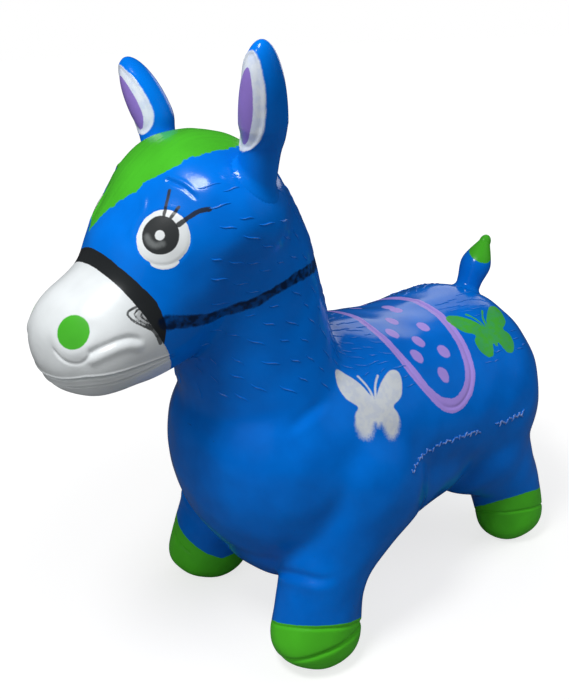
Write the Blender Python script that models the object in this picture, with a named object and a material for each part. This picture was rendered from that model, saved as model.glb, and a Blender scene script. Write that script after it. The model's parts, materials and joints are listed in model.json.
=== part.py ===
"""Bouncy ride-on horse: an inflated PVC toy, moulded as one hollow skin with a belly valve.

Metres, +Z up, +X towards the muzzle, +Y to the horse's left. The skin is lofted through named
swells, fused, hollowed to its wall and parted where the paint and the flexing zones divide it.
"""
import math
from collections import namedtuple

import bmesh
import bpy
from mathutils import Matrix, Vector
from mathutils.bvhtree import BVHTree

# A swell is one station of the moulded form: its centre and its half sizes along X, Y and Z.
Swell = namedtuple("Swell", "x y z half_x half_y half_z")

# Trunk, from the rump forward to the chest
RUMP = Swell(-0.158, 0.0, 0.170, 0.090, 0.119, 0.114)
LOIN = Swell(-0.074, 0.0, 0.183, 0.100, 0.113, 0.096)
SADDLE = Swell(0.008, 0.0, 0.190, 0.100, 0.111, 0.101)
CHEST = Swell(0.091, 0.0, 0.182, 0.086, 0.112, 0.114)

# Underside, from the brisket between the front legs back to the belly
BRISKET = Swell(0.085, 0.0, 0.116, 0.062, 0.087, 0.074)
BELLY_FRONT = Swell(0.012, 0.0, 0.138, 0.080, 0.110, 0.072)
BELLY_REAR = Swell(-0.066, 0.0, 0.143, 0.080, 0.106, 0.071)

# Neck and head, from the shoulders up and forward to the lips
NECK_BASE = Swell(0.095, 0.0, 0.257, 0.070, 0.085, 0.088)
NECK_TOP = Swell(0.120, 0.0, 0.368, 0.073, 0.073, 0.087)
SKULL = Swell(0.149, 0.0, 0.423, 0.070, 0.089, 0.066)
CHEEK = Swell(0.206, 0.0, 0.364, 0.069, 0.061, 0.060)
MUZZLE = Swell(0.251, 0.0, 0.345, 0.053, 0.058, 0.047)

# Legs on the left side, from the root inside the trunk down to the hoof
SHOULDER = Swell(0.047, 0.081, 0.156, 0.079, 0.054, 0.058)
FORELEG = Swell(0.092, 0.087, 0.090, 0.043, 0.040, 0.028)
FORE_HOOF = Swell(0.112, 0.092, 0.023, 0.047, 0.039, 0.026)
HIP = Swell(-0.148, 0.069, 0.122, 0.073, 0.050, 0.047)
HIND_LEG = Swell(-0.176, 0.080, 0.080, 0.043, 0.039, 0.028)
HIND_HOOF = Swell(-0.191, 0.086, 0.023, 0.040, 0.035, 0.024)

# Left ear, from its root inside the skull to the tip; the soft right ear's tip hangs lower.
# An ear's half sizes are its half depth, half width and half height, turned by its yaw.
EAR_BASE = Swell(0.136, 0.067, 0.448, 0.0155, 0.0155, 0.012)
EAR_NECK = Swell(0.135, 0.075, 0.479, 0.0160, 0.0155, 0.012)
EAR_BLADE = Swell(0.137, 0.087, 0.514, 0.0185, 0.0180, 0.016)
LEFT_EAR_TIP = Swell(0.144, 0.101, 0.549, 0.0080, 0.0085, 0.011)
RIGHT_EAR_TIP = Swell(0.144, 0.102, 0.534, 0.0080, 0.0085, 0.011)
LEFT_EAR_YAW = math.radians(-2.0)
RIGHT_EAR_YAW = math.radians(24.0)

# Tail, from its root inside the rump to the tip
TAIL_BASE = Swell(-0.198, 0.0, 0.262, 0.0125, 0.0125, 0.012)
TAIL_NECK = Swell(-0.206, 0.0, 0.282, 0.014, 0.014, 0.010)
TAIL_BULGE = Swell(-0.217, 0.0, 0.302, 0.017, 0.017, 0.012)
TAIL_TIP = Swell(-0.230, 0.0, 0.322, 0.006, 0.006, 0.010)

# The moulded skin
WALL = 0.0020
GAP = 0.0003
INFLATION = 0.0016
FILLET_PASSES = 16
FILLET_STRENGTH = 0.5
SKIN_VOXEL = 0.006
SKIN_TRIANGLES = 3500
INSIDE_TRIANGLES = 1850
RING_STEP = 0.012
BODY_SIDES = 40
EAR_SIDES = 16
TAIL_SIDES = 14
CAP_RINGS = 4
CAP_START = 0.75
SHARP_ANGLE = math.radians(40.0)

# Seams that part the skin into zones; a tilt leans a seam's normal from +Z towards +X
NECK_SEAM_RISE = 0.006
NECK_SEAM_TILT = math.radians(22.0)
THROAT_SEAM_RISE = -0.012
THROAT_SEAM_TILT = math.radians(38.0)
NOSE_SEAM_SETBACK = 0.030
NOSE_SEAM_TILT = math.radians(115.0)
HOOF_HEIGHT = 0.046
HOOF_MARGIN = 0.004
LEG_SEAM_HEIGHT = 0.100
LEG_SEAM_SLOPE = math.radians(16.0)
LEG_INSIDE = 0.048
LEG_HALF_LENGTH = 0.080
REACH = 0.70

# Air valve under the belly
VALVE_X = -0.035
PAD_RADIUS = 0.017
PAD_DROP = 0.0015
PAD_DEPTH = 0.006
FLANGE_RADIUS = 0.013
FLANGE_THICK = 0.0016
SEAT_TUBE_RADIUS = 0.0075
SEAT_TUBE_LENGTH = 0.013
STOPPER_RADIUS = 0.0048
STOPPER_TAPER = 0.0012
STOPPER_LENGTH = 0.014
HEAD_RADIUS = 0.0095
HEAD_THICK = 0.0025
VALVE_SIDES = 32
MERGE_DISTANCE = 0.000001

BLUE = (0.000, 0.130, 0.520)
GREEN = (0.073, 0.496, 0.025)
WHITE = (0.730, 0.770, 0.790)
VALVE_WHITE = (0.800, 0.800, 0.780)


def clear_scene():
    """Remove whatever the open file holds."""
    for old in list(bpy.data.objects):
        bpy.data.objects.remove(old, do_unlink=True)


def glossy(name, colour, roughness):
    """Plain Principled material of one colour."""
    material = bpy.data.materials.new(name)
    material.use_nodes = True
    shader = material.node_tree.nodes["Principled BSDF"]
    shader.inputs["Base Color"].default_value = (*colour, 1.0)
    shader.inputs["Roughness"].default_value = roughness
    shader.inputs["Metallic"].default_value = 0.0
    return material


def object_from(name, bm):
    """Put a bmesh into a new scene object."""
    mesh = bpy.data.meshes.new(name)
    bm.to_mesh(mesh)
    bm.free()
    made = bpy.data.objects.new(name, mesh)
    bpy.context.scene.collection.objects.link(made)
    return made


def baked(source, name):
    """New object with the evaluated mesh of another, which is then removed."""
    bpy.context.view_layer.update()
    evaluated = source.evaluated_get(bpy.context.evaluated_depsgraph_get())
    mesh = bpy.data.meshes.new_from_object(evaluated)
    bpy.data.objects.remove(source, do_unlink=True)
    mesh.name = name
    made = bpy.data.objects.new(name, mesh)
    bpy.context.scene.collection.objects.link(made)
    return made


def copy_of(source, name):
    """Independent copy of an object and its mesh."""
    made = bpy.data.objects.new(name, source.data.copy())
    bpy.context.scene.collection.objects.link(made)
    return made


def hidden(cutter):
    """Mark an object as a cutter that is no piece of the toy."""
    cutter.hide_render = True
    cutter.display_type = "WIRE"
    return cutter


def boolean(target, cutter, operation):
    """Cut, join or intersect the target with the cutter, which stays.

    The thin nested walls need the manifold solver: the exact one leaves open edges in them.
    """
    name = target.name
    step = target.modifiers.new(operation.lower(), "BOOLEAN")
    step.operation = operation
    step.solver = "MANIFOLD"
    step.object = cutter
    return baked(target, name)


def cut_away(target, cutter):
    """Subtract a cutter that isn't needed again."""
    made = boolean(target, cutter, "DIFFERENCE")
    bpy.data.objects.remove(cutter, do_unlink=True)
    return made


def mirrored(swell):
    """The same swell on the horse's right side."""
    return swell._replace(y=-swell.y)


def drawn_in(swell, distance):
    """The same swell with its surface moved inwards."""
    return swell._replace(half_x=swell.half_x - distance, half_y=swell.half_y - distance,
                          half_z=swell.half_z - distance)


def centre(swell):
    """Centre point of a swell."""
    return Vector((swell.x, swell.y, swell.z))


def half_extent(half, direction):
    """How far an ellipsoid of these half sizes reaches along a unit direction."""
    return math.sqrt(sum((size * part) ** 2 for size, part in zip(half, direction)))


def stations_along(swells):
    """Centres and half sizes at even steps of a smooth curve through the swells."""
    values = [tuple(swell) for swell in swells]
    ends = [values[0]] + values + [values[-1]]
    stations = []
    for index in range(1, len(ends) - 2):
        before, start, end, after = ends[index - 1:index + 3]
        span = (Vector(end[:3]) - Vector(start[:3])).length
        steps = max(2, round(span / RING_STEP))
        for step in range(steps):
            t = step / steps
            stations.append([
                0.5 * (2 * b + (c - a) * t + (2 * a - 5 * b + 4 * c - d) * t * t
                       + (3 * b - a - 3 * c + d) * t ** 3)
                for a, b, c, d in zip(before, start, end, after)])
    stations.append(list(values[-1]))
    return [(Vector(row[:3]), row[3:]) for row in stations]


def loft_rings(swells, yaw):
    """Matrices that lay a unit circle as each ring of a loft, round caps included."""
    stations = stations_along(swells)
    turn_back = Matrix.Rotation(-yaw, 3, "Z")
    across = turn_back.inverted() @ Vector((0.0, 1.0, 0.0))
    frames = []
    for index, (point, half) in enumerate(stations):
        ahead = stations[min(index + 1, len(stations) - 1)][0]
        behind = stations[max(index - 1, 0)][0]
        along = (ahead - behind).normalized()
        side = (across - along * along.dot(across)).normalized()
        up = along.cross(side)
        frames.append((point, half, along, side, up))

    def ring(frame, offset, shrink):
        point, half, along, side, up = frame
        wide = half_extent(half, turn_back @ side) * shrink
        tall = half_extent(half, turn_back @ up) * shrink
        middle = point + along * offset
        columns = Matrix((side * wide, up * tall, along)).transposed().to_4x4()
        return Matrix.Translation(middle) @ columns

    turn = math.pi / 2 / (CAP_RINGS + CAP_START)
    angles = [turn * (step + CAP_START) for step in range(CAP_RINGS)]
    first_cap = half_extent(frames[0][1], turn_back @ frames[0][2])
    last_cap = half_extent(frames[-1][1], turn_back @ frames[-1][2])
    start = [ring(frames[0], -first_cap * math.sin(a), math.cos(a)) for a in reversed(angles)]
    end = [ring(frames[-1], last_cap * math.sin(a), math.cos(a)) for a in angles]
    return start + [ring(frame, 0.0, 1.0) for frame in frames] + end


def add_loft(bm, swells, sides, yaw=0.0):
    """Closed loft through the swells: circles bridged ring by ring, with filled ends."""
    rings = []
    for matrix in loft_rings(swells, yaw):
        made = bmesh.ops.create_circle(bm, cap_ends=False, segments=sides, radius=1.0, matrix=matrix)
        edges = {edge for vert in made["verts"] for edge in vert.link_edges}
        rings.append(sorted(edges, key=lambda edge: edge.index))
        bm.edges.index_update()
    for lower, upper in zip(rings, rings[1:]):
        bmesh.ops.bridge_loops(bm, edges=lower + upper)
    bmesh.ops.holes_fill(bm, edges=rings[0] + rings[-1], sides=0)
    bmesh.ops.triangulate(bm, faces=bm.faces)
    bmesh.ops.recalc_face_normals(bm, faces=bm.faces)


def loft(name, swells, sides, yaw):
    """A loft as an object of its own."""
    bm = bmesh.new()
    add_loft(bm, swells, sides, yaw)
    return object_from(name, bm)


def cutter_box(name, matrix, size):
    """Hidden box whose lower face is centred on the matrix origin, its depth along local Z."""
    bm = bmesh.new()
    bmesh.ops.create_cube(bm, size=1.0)
    bmesh.ops.translate(bm, vec=(0.0, 0.0, 0.5), verts=bm.verts)
    bmesh.ops.scale(bm, vec=size, verts=bm.verts)
    bmesh.ops.transform(bm, matrix=matrix, verts=bm.verts)
    return hidden(object_from(name, bm))


def half_space(name, matrix):
    """Hidden box that takes in everything above the matrix's XY plane."""
    return cutter_box(name, matrix, (REACH, REACH, REACH))


def grown(box, amount):
    """Copy of a convex cutter with every face moved out by an amount."""
    made = copy_of(box, box.name + "_grown")
    planes = [(face.normal.copy(), face.center.copy()) for face in made.data.polygons]
    middle = sum((vert.co for vert in made.data.vertices), Vector()) / len(made.data.vertices)
    for vert in made.data.vertices:
        shift = Vector()
        for normal, point in planes:
            outward = normal if (point - middle).dot(normal) > 0 else -normal
            if abs((vert.co - point).dot(outward)) < GAP:
                shift += outward * amount
        vert.co += shift
    return hidden(made)


def part_at(target, box, inside_name, outside_name):
    """Part a body at a cutter's faces, leaving the seam gap between the two pieces."""
    inner = grown(box, -GAP / 2)
    outer = grown(box, GAP / 2)
    inside = boolean(copy_of(target, inside_name), inner, "INTERSECT")
    target.name = outside_name
    outside = boolean(target, outer, "DIFFERENCE")
    for cutter in (inner, outer, box):
        bpy.data.objects.remove(cutter, do_unlink=True)
    return inside, outside


def tilted(point, tilt):
    """Frame at a point whose Z leans from up towards the muzzle."""
    return Matrix.Translation(point) @ Matrix.Rotation(tilt, 4, "Y")


def fused_form(name, draw_in):
    """The skin's lofts, drawn in by a distance, as one smooth closed form."""
    bm = bmesh.new()
    chains = [(RUMP, LOIN, SADDLE, CHEST), (BELLY_REAR, BELLY_FRONT, BRISKET),
              (CHEST, NECK_BASE, NECK_TOP, SKULL), (SKULL, CHEEK, MUZZLE)]
    for limb in ((SHOULDER, FORELEG, FORE_HOOF), (HIP, HIND_LEG, HIND_HOOF)):
        chains.append(limb)
        chains.append([mirrored(swell) for swell in limb])
    for chain in chains:
        add_loft(bm, [drawn_in(swell, draw_in) for swell in chain], BODY_SIDES)
    form = object_from(name, bm)
    fuse = form.modifiers.new("fuse", "REMESH")
    fuse.mode = "VOXEL"
    fuse.voxel_size = SKIN_VOXEL
    soften = form.modifiers.new("soften", "SMOOTH")
    soften.factor = FILLET_STRENGTH
    soften.iterations = FILLET_PASSES
    inflate = form.modifiers.new("inflate", "DISPLACE")
    inflate.strength = INFLATION
    inflate.mid_level = 0.0
    return baked(form, name)


def skin_form(name, draw_in, triangles):
    """Fused form thinned to a count of triangles, with its soles cut flat."""
    form = fused_form(name, draw_in)
    thin = form.modifiers.new("thin", "DECIMATE")
    thin.ratio = triangles / (2 * len(form.data.polygons))
    form = baked(form, name)
    cut = bmesh.new()
    cut.from_mesh(form.data)
    everything = cut.verts[:] + cut.edges[:] + cut.faces[:]
    made = bmesh.ops.bisect_plane(cut, geom=everything, plane_co=(0.0, 0.0, draw_in),
                                  plane_no=(0.0, 0.0, -1.0), clear_outer=True)
    rims = [item for item in made["geom_cut"] if isinstance(item, bmesh.types.BMEdge)]
    bmesh.ops.holes_fill(cut, edges=rims, sides=0)
    bmesh.ops.dissolve_degenerate(cut, edges=cut.edges, dist=GAP)
    bmesh.ops.triangulate(cut, faces=cut.faces)
    bmesh.ops.recalc_face_normals(cut, faces=cut.faces)
    cut.to_mesh(form.data)
    cut.free()
    return form


def swollen(form, name, amount):
    """Hidden copy of a form with its surface moved out along its normals."""
    made = copy_of(form, name)
    swell = made.modifiers.new("clearance", "DISPLACE")
    swell.strength = amount
    swell.mid_level = 0.0
    return hidden(baked(made, name))


def turned(name, profile):
    """Solid turned about Z from a profile of (radius, height) points that runs bottom to top."""
    bm = bmesh.new()
    verts = [bm.verts.new((radius, 0.0, height)) for radius, height in profile]
    edges = [bm.edges.new(pair) for pair in zip(verts, verts[1:])]
    if profile[0][0] > 0.0:
        edges.append(bm.edges.new((verts[-1], verts[0])))
    bmesh.ops.spin(bm, geom=verts + edges, axis=(0.0, 0.0, 1.0), cent=(0.0, 0.0, 0.0),
                   angle=2 * math.pi, steps=VALVE_SIDES, use_merge=True)
    bmesh.ops.remove_doubles(bm, verts=bm.verts, dist=MERGE_DISTANCE)
    bmesh.ops.recalc_face_normals(bm, faces=bm.faces)
    return object_from(name, bm)


def disc(name, under, radius, bottom, top):
    """Hidden round plug about the valve's axis, between two heights over the skin."""
    made = turned(name, [(0.0, bottom), (radius, bottom), (radius, top), (0.0, top)])
    made.data.transform(Matrix.Translation(under))
    return hidden(made)


def belly_point(form):
    """Lowest point of the skin above the valve's place."""
    tree = BVHTree.FromObject(form, bpy.context.evaluated_depsgraph_get())
    hit, _, _, _ = tree.ray_cast(Vector((VALVE_X, 0.0, -REACH)), Vector((0.0, 0.0, 1.0)))
    return hit


def valve_pad(shell, under):
    """Thicken the skin to a flat round pad and bore it for the valve seat."""
    pad = disc("pad", under, PAD_RADIUS, -PAD_DROP, PAD_DEPTH)
    shell = boolean(shell, pad, "UNION")
    bpy.data.objects.remove(pad, do_unlink=True)
    return cut_away(shell, disc("bore", under, SEAT_TUBE_RADIUS + GAP, -PAD_RADIUS, PAD_RADIUS))


def valve_seat(under):
    """Flanged bush pushed up into the pad, with a tapered hole for the stopper."""
    face = -PAD_DROP - GAP
    foot = face - FLANGE_THICK
    hole = STOPPER_RADIUS + GAP
    top = face + SEAT_TUBE_LENGTH
    lean = STOPPER_TAPER * (top - foot) / STOPPER_LENGTH
    seat = turned("valve_seat", [
        (hole, foot), (FLANGE_RADIUS, foot), (FLANGE_RADIUS, face), (SEAT_TUBE_RADIUS, face),
        (SEAT_TUBE_RADIUS, top), (hole - lean, top)])
    seat.data.transform(Matrix.Translation(under))
    return seat


def valve_plug(under):
    """Tapered stopper with a round pull head."""
    face = -PAD_DROP - 2 * GAP - FLANGE_THICK
    foot = face - HEAD_THICK
    bevel = HEAD_THICK / 4
    plug = turned("valve_plug", [
        (0.0, foot), (HEAD_RADIUS - bevel, foot), (HEAD_RADIUS, foot + bevel), (HEAD_RADIUS, face),
        (STOPPER_RADIUS, face), (STOPPER_RADIUS - STOPPER_TAPER, face + STOPPER_LENGTH),
        (0.0, face + STOPPER_LENGTH)])
    plug.data.transform(Matrix.Translation(under))
    return plug


def leg_box(hoof, side):
    """Cutter round one leg: floor to the sloped leg seam, from the inner leg outwards."""
    lean = Matrix.Rotation(-side * LEG_SEAM_SLOPE, 4, "X")
    top = Vector((hoof.x, side * (hoof.y - LEG_INSIDE), LEG_SEAM_HEIGHT))
    frame = Matrix.Translation(top) @ lean @ Matrix.Rotation(math.pi, 4, "X")
    shift = Matrix.Translation((0.0, -side * REACH / 2, 0.0))
    return cutter_box("leg_cut", frame @ shift, (2 * LEG_HALF_LENGTH, REACH, REACH))


def hoof_box(hoof, side):
    """Cutter round one hoof, from below the floor up to the hoof's paint line."""
    floor = Matrix.Translation((hoof.x, side * hoof.y, -HOOF_HEIGHT))
    length = 2 * (hoof.half_x + HOOF_MARGIN)
    width = 2 * (hoof.half_y + HOOF_MARGIN)
    return cutter_box("hoof_cut", floor, (length, width, 2 * HOOF_HEIGHT))


def ear(hand, swells, yaw, clear_of_skin):
    """Blade and root of one hollow ear; returns them and the hinge point."""
    hinge = centre(swells[1])
    along = (centre(swells[2]) - hinge).normalized()
    hollow = loft("ear_hollow", [drawn_in(swell, WALL) for swell in swells], EAR_SIDES, yaw)
    shell = cut_away(loft("ear_shell", swells, EAR_SIDES, yaw), hollow)
    shell = boolean(shell, clear_of_skin, "DIFFERENCE")
    blade, root = part_at(shell, half_space("ear_cut", seam_frame(hinge, along)),
                          f"{hand}_ear", f"{hand}_ear_root")
    return blade, root, hinge


def tail_pieces(clear_of_skin):
    """Tail and its root, hollow; returns them and the hinge point."""
    swells = (TAIL_BASE, TAIL_NECK, TAIL_BULGE, TAIL_TIP)
    hinge = centre(TAIL_NECK)
    along = (centre(TAIL_BULGE) - hinge).normalized()
    hollow = loft("tail_hollow", [drawn_in(swell, WALL) for swell in swells], TAIL_SIDES, 0.0)
    shell = cut_away(loft("tail_shell", swells, TAIL_SIDES, 0.0), hollow)
    shell = boolean(shell, clear_of_skin, "DIFFERENCE")
    tail, root = part_at(shell, half_space("tail_cut", seam_frame(hinge, along)), "tail", "tail_root")
    return tail, root, hinge


def seam_frame(point, along):
    """Frame at a point with its Z along a direction."""
    return Matrix.Translation(point) @ along.to_track_quat("Z", "Y").to_matrix().to_4x4()


def finish(made, material, frame, origin=Vector()):
    """Give a piece its material, smooth shading, origin and parent."""
    made.data.materials.clear()
    made.data.materials.append(material)
    made.data.shade_smooth()
    made.data.set_sharp_from_angle(angle=SHARP_ANGLE)
    made.data.transform(Matrix.Translation(-origin))
    made.location = origin
    made.parent = frame


def main():
    """Build every piece of the toy."""
    clear_scene()
    blue = glossy("blue_pvc", BLUE, 0.25)
    green = glossy("green_paint", GREEN, 0.35)
    white = glossy("white_paint", WHITE, 0.40)
    valve_white = glossy("valve_plastic", VALVE_WHITE, 0.40)

    form = skin_form("skin_form", 0.0, SKIN_TRIANGLES)
    inside = skin_form("skin_inside", WALL, INSIDE_TRIANGLES)
    corners = [Vector(corner) for corner in form.bound_box]
    middle_x = (corners[0].x + corners[6].x) / 2
    frame = bpy.data.objects.new("horse_frame", None)
    frame.location = (-middle_x, 0.0, 0.0)
    bpy.context.scene.collection.objects.link(frame)

    clear_of_skin = swollen(form, "clear_of_skin", GAP)
    under = belly_point(form)
    shell = valve_pad(cut_away(form, inside), under)

    neck_seam = tilted(centre(NECK_BASE) + Vector((0.0, 0.0, NECK_SEAM_RISE)), NECK_SEAM_TILT)
    upper, trunk = part_at(shell, half_space("neck_cut", neck_seam), "upper", "trunk")
    throat_seam = tilted(centre(NECK_TOP) + Vector((0.0, 0.0, THROAT_SEAM_RISE)), THROAT_SEAM_TILT)
    face, neck = part_at(upper, half_space("throat_cut", throat_seam), "face", "neck")
    nose_seam = tilted(centre(MUZZLE) - Vector((NOSE_SEAM_SETBACK, 0.0, 0.0)), NOSE_SEAM_TILT)
    muzzle, head = part_at(face, half_space("nose_cut", nose_seam), "muzzle", "head")

    for end, hoof in (("front", FORE_HOOF), ("rear", HIND_HOOF)):
        for hand, side in (("left", 1), ("right", -1)):
            name = f"{end}_{hand}"
            limb, trunk = part_at(trunk, leg_box(hoof, side), name, "trunk")
            sole, leg = part_at(limb, hoof_box(hoof, side), f"{name}_hoof", f"{name}_leg")
            finish(sole, green, frame, Vector((hoof.x, side * hoof.y, 0.0)))
            finish(leg, blue, frame)
    finish(trunk, blue, frame)
    finish(neck, blue, frame)
    finish(head, blue, frame)
    finish(muzzle, white, frame)

    left_swells = (EAR_BASE, EAR_NECK, EAR_BLADE, LEFT_EAR_TIP)
    right_swells = [mirrored(swell) for swell in (EAR_BASE, EAR_NECK, EAR_BLADE, RIGHT_EAR_TIP)]
    for hand, swells, yaw in (("left", left_swells, LEFT_EAR_YAW), ("right", right_swells, RIGHT_EAR_YAW)):
        blade, root, hinge = ear(hand, swells, yaw, clear_of_skin)
        finish(blade, blue, frame, hinge)
        finish(root, blue, frame)
    tail, root, hinge = tail_pieces(clear_of_skin)
    finish(tail, blue, frame, hinge)
    finish(root, blue, frame)
    bpy.data.objects.remove(clear_of_skin, do_unlink=True)

    finish(valve_seat(under), valve_white, frame)
    finish(valve_plug(under), valve_white, frame, under)


main()
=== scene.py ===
"""Looks of a bouncy ride-on horse: a moulded, air-filled PVC skin with sprayed and brushed paint.

Sizes are metres in the maker's frame (X to the muzzle, Y to the horse's left, Z up, origin on the
floor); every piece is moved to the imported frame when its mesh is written. Paint is measured in
millimetres inside its edge and kept on the points, so that the shader can draw a crisp edge.
"""
import json
import math
from collections import namedtuple

import bpy
import numpy as np
from mathutils import Matrix, Vector


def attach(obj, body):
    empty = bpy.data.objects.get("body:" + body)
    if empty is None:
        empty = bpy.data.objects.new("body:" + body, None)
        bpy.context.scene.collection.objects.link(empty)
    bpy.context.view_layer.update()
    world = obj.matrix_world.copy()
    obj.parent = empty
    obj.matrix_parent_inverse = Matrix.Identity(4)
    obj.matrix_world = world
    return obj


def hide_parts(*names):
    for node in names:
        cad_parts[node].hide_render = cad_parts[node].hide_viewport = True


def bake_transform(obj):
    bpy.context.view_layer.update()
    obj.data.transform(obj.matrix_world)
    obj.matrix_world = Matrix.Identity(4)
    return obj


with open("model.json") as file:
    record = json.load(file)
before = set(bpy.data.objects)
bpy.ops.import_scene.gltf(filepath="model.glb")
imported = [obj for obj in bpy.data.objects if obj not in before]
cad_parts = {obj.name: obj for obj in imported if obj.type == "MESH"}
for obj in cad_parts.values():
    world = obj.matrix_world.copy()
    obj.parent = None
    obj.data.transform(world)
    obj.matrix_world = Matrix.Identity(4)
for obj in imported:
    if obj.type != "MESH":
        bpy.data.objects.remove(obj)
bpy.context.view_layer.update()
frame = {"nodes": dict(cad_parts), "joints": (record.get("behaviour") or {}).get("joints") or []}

bl_info = {
    "name": "Bouncy ride-on horse",
    "version": (1, 0, 0),
    "blender": (4, 5, 0),
    "location": "View3D > Sidebar > Horse",
    "description": "Builds the painted skin, ears, tail and stage of a bouncy ride-on horse",
    "category": "Object",
}

# A swell is one station of the moulded form: its centre and its half sizes along X, Y and Z.
Swell = namedtuple("Swell", "x y z half_x half_y half_z")

# Trunk and underside
RUMP = Swell(-0.158, 0.0, 0.170, 0.090, 0.119, 0.114)
LOIN = Swell(-0.074, 0.0, 0.183, 0.100, 0.1155, 0.096)
SADDLE = Swell(0.008, 0.0, 0.190, 0.100, 0.1145, 0.101)
CHEST = Swell(0.091, 0.0, 0.182, 0.086, 0.112, 0.114)
BRISKET = Swell(0.085, 0.0, 0.116, 0.062, 0.087, 0.074)
BELLY_FRONT = Swell(0.012, 0.0, 0.138, 0.080, 0.114, 0.072)
BELLY_REAR = Swell(-0.066, 0.0, 0.143, 0.080, 0.108, 0.071)

# Neck and head
NECK_BASE = Swell(0.095, 0.0, 0.257, 0.070, 0.085, 0.088)
NECK_TOP = Swell(0.120, 0.0, 0.368, 0.073, 0.073, 0.087)
SKULL = Swell(0.149, 0.0, 0.423, 0.070, 0.089, 0.066)
CHEEK = Swell(0.206, 0.0, 0.364, 0.069, 0.061, 0.060)
MUZZLE = Swell(0.251, 0.0, 0.345, 0.053, 0.058, 0.047)

# Legs on the left side
SHOULDER = Swell(0.0425, 0.081, 0.156, 0.0835, 0.054, 0.058)
FORELEG = Swell(0.092, 0.087, 0.090, 0.043, 0.040, 0.028)
FORE_HOOF = Swell(0.112, 0.092, 0.023, 0.047, 0.039, 0.026)
HIP = Swell(-0.148, 0.069, 0.122, 0.073, 0.050, 0.047)
HIND_LEG = Swell(-0.176, 0.080, 0.080, 0.043, 0.039, 0.028)
HIND_HOOF = Swell(-0.191, 0.086, 0.023, 0.040, 0.035, 0.024)

# Ears and tail
EAR_BASE = Swell(0.136, 0.067, 0.448, 0.0155, 0.0155, 0.012)
EAR_NECK = Swell(0.135, 0.075, 0.479, 0.0160, 0.0155, 0.012)
LEFT_EAR_BLADE = Swell(0.1350, 0.0793, 0.4921, 0.0177, 0.0172, 0.016)
LEFT_EAR_TOP = Swell(0.1365, 0.0822, 0.5015, 0.0194, 0.0188, 0.016)
RIGHT_EAR_BLADE = Swell(0.1350, 0.0781, 0.4925, 0.0178, 0.0173, 0.016)
RIGHT_EAR_TOP = Swell(0.1365, 0.0822, 0.5015, 0.0183, 0.0178, 0.016)
LEFT_EAR_TAPER = 0.0615
RIGHT_EAR_TAPER = 0.0480
LEFT_EAR_YAW = math.radians(-2.0)
RIGHT_EAR_YAW = math.radians(0.0)
TAIL_BASE = Swell(-0.198, 0.0, 0.262, 0.0125, 0.0125, 0.012)
TAIL_NECK = Swell(-0.206, 0.0, 0.282, 0.014, 0.014, 0.010)
TAIL_BULGE = Swell(-0.217, 0.0, 0.302, 0.017, 0.017, 0.012)
TAIL_TIP = Swell(-0.230, 0.0, 0.322, 0.006, 0.006, 0.010)

# The moulded form's fineness and fillets; the passes keep the fillet size at any voxel
INFLATION = 0.0016
FILLET_STRENGTH = 0.5
FILLET_VOXEL = 0.006
FILLET_PASSES = 16
FORM_SIDES = 96
FORM_STEP = 0.006
CAP_RINGS = 12
EAR_SIDES = 96
EAR_STEP = 0.0012
EAR_CAP_RINGS = 48
TAIL_SIDES = 64
TINY = 1e-9
NEAR = 0.04
FAR = 1.0
MM = 1000.0

# Seams between the pieces of the skin, as the solids are parted
THROAT_RISE = -0.012
THROAT_TILT = math.radians(38.0)
LEG_SEAM_HEIGHT = 0.100
LEG_SEAM_SLOPE = math.radians(16.0)
LEG_INSIDE = 0.048
LEG_HALF_LENGTH = 0.080
# A leg's piece is the skin below a plane that rises outwards from where its inner side leaves the belly
BACK_FRONT = 0.085
BACK_REAR = -0.197
BACK_LOW = math.radians(88.0)
BACK_TOP = 0.287

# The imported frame's X is the maker's X moved by this much
JOINTS = {joint["name"]: joint for joint in frame["joints"]}
SHIFT = np.array((JOINTS["left_ear_bend"]["pos_m"][0] - EAR_NECK.x, 0.0, 0.0))


def linear(hex_colour):
    """Linear RGB of an sRGB hex colour: ((c + 0.055) / 1.055) ** 2.4, or c / 12.92 near black."""
    parts = [int(hex_colour[index:index + 2], 16) / 255.0 for index in (0, 2, 4)]
    return tuple(((c + 0.055) / 1.055) ** 2.4 if c > 0.04045 else c / 12.92 for c in parts)


def colour_property(label, hex_colour, what):
    """Colour property with an sRGB hex default."""
    return bpy.props.FloatVectorProperty(name=label, description=what, subtype="COLOR", size=3,
                                         min=0.0, max=1.0, default=linear(hex_colour))


def length_property(label, metres, what):
    """Length property in metres."""
    return bpy.props.FloatProperty(name=label, description=what, default=metres, min=0.0,
                                   unit="LENGTH", precision=5)


class HorseColours(bpy.types.PropertyGroup):
    """Colours of the skin, the paints and the valve."""

    blue: colour_property("Skin", "0074E0", "Blue of the moulded PVC")
    deep_blue: colour_property("Skin mottle", "006CD4", "Darker blue in the skin's faint mottling")
    green: colour_property("Green paint", "46B428", "Forelock, nostrils, rump butterfly and tail tip")
    hoof_green: colour_property("Hoof paint", "56D02C", "Brighter green of the hooves")
    # White paint; also the colour of the painted highlight along the hair strokes' crests
    white: colour_property("White paint", "E2E7E9", "Muzzle, eye and ear panels")
    black: colour_property("Black paint", "25282A", "Noseband, iris and lashes")
    strap: colour_property("Strap paint", "041430", "Thin black strap, with the blue showing through")
    purple: colour_property("Saddle paint", "B096F0", "Saddle band and spots")
    ear_purple: colour_property("Ear paint", "8A72C2", "Oval inside each ear")
    glint: colour_property("Glint", "9AA0A0", "Grey brushed glint in the eye")
    valve: colour_property("Valve", "E6E6E2", "Soft white plastic of the valve")
    floor: colour_property("Floor", "A4A4A4", "Pale floor")


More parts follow.
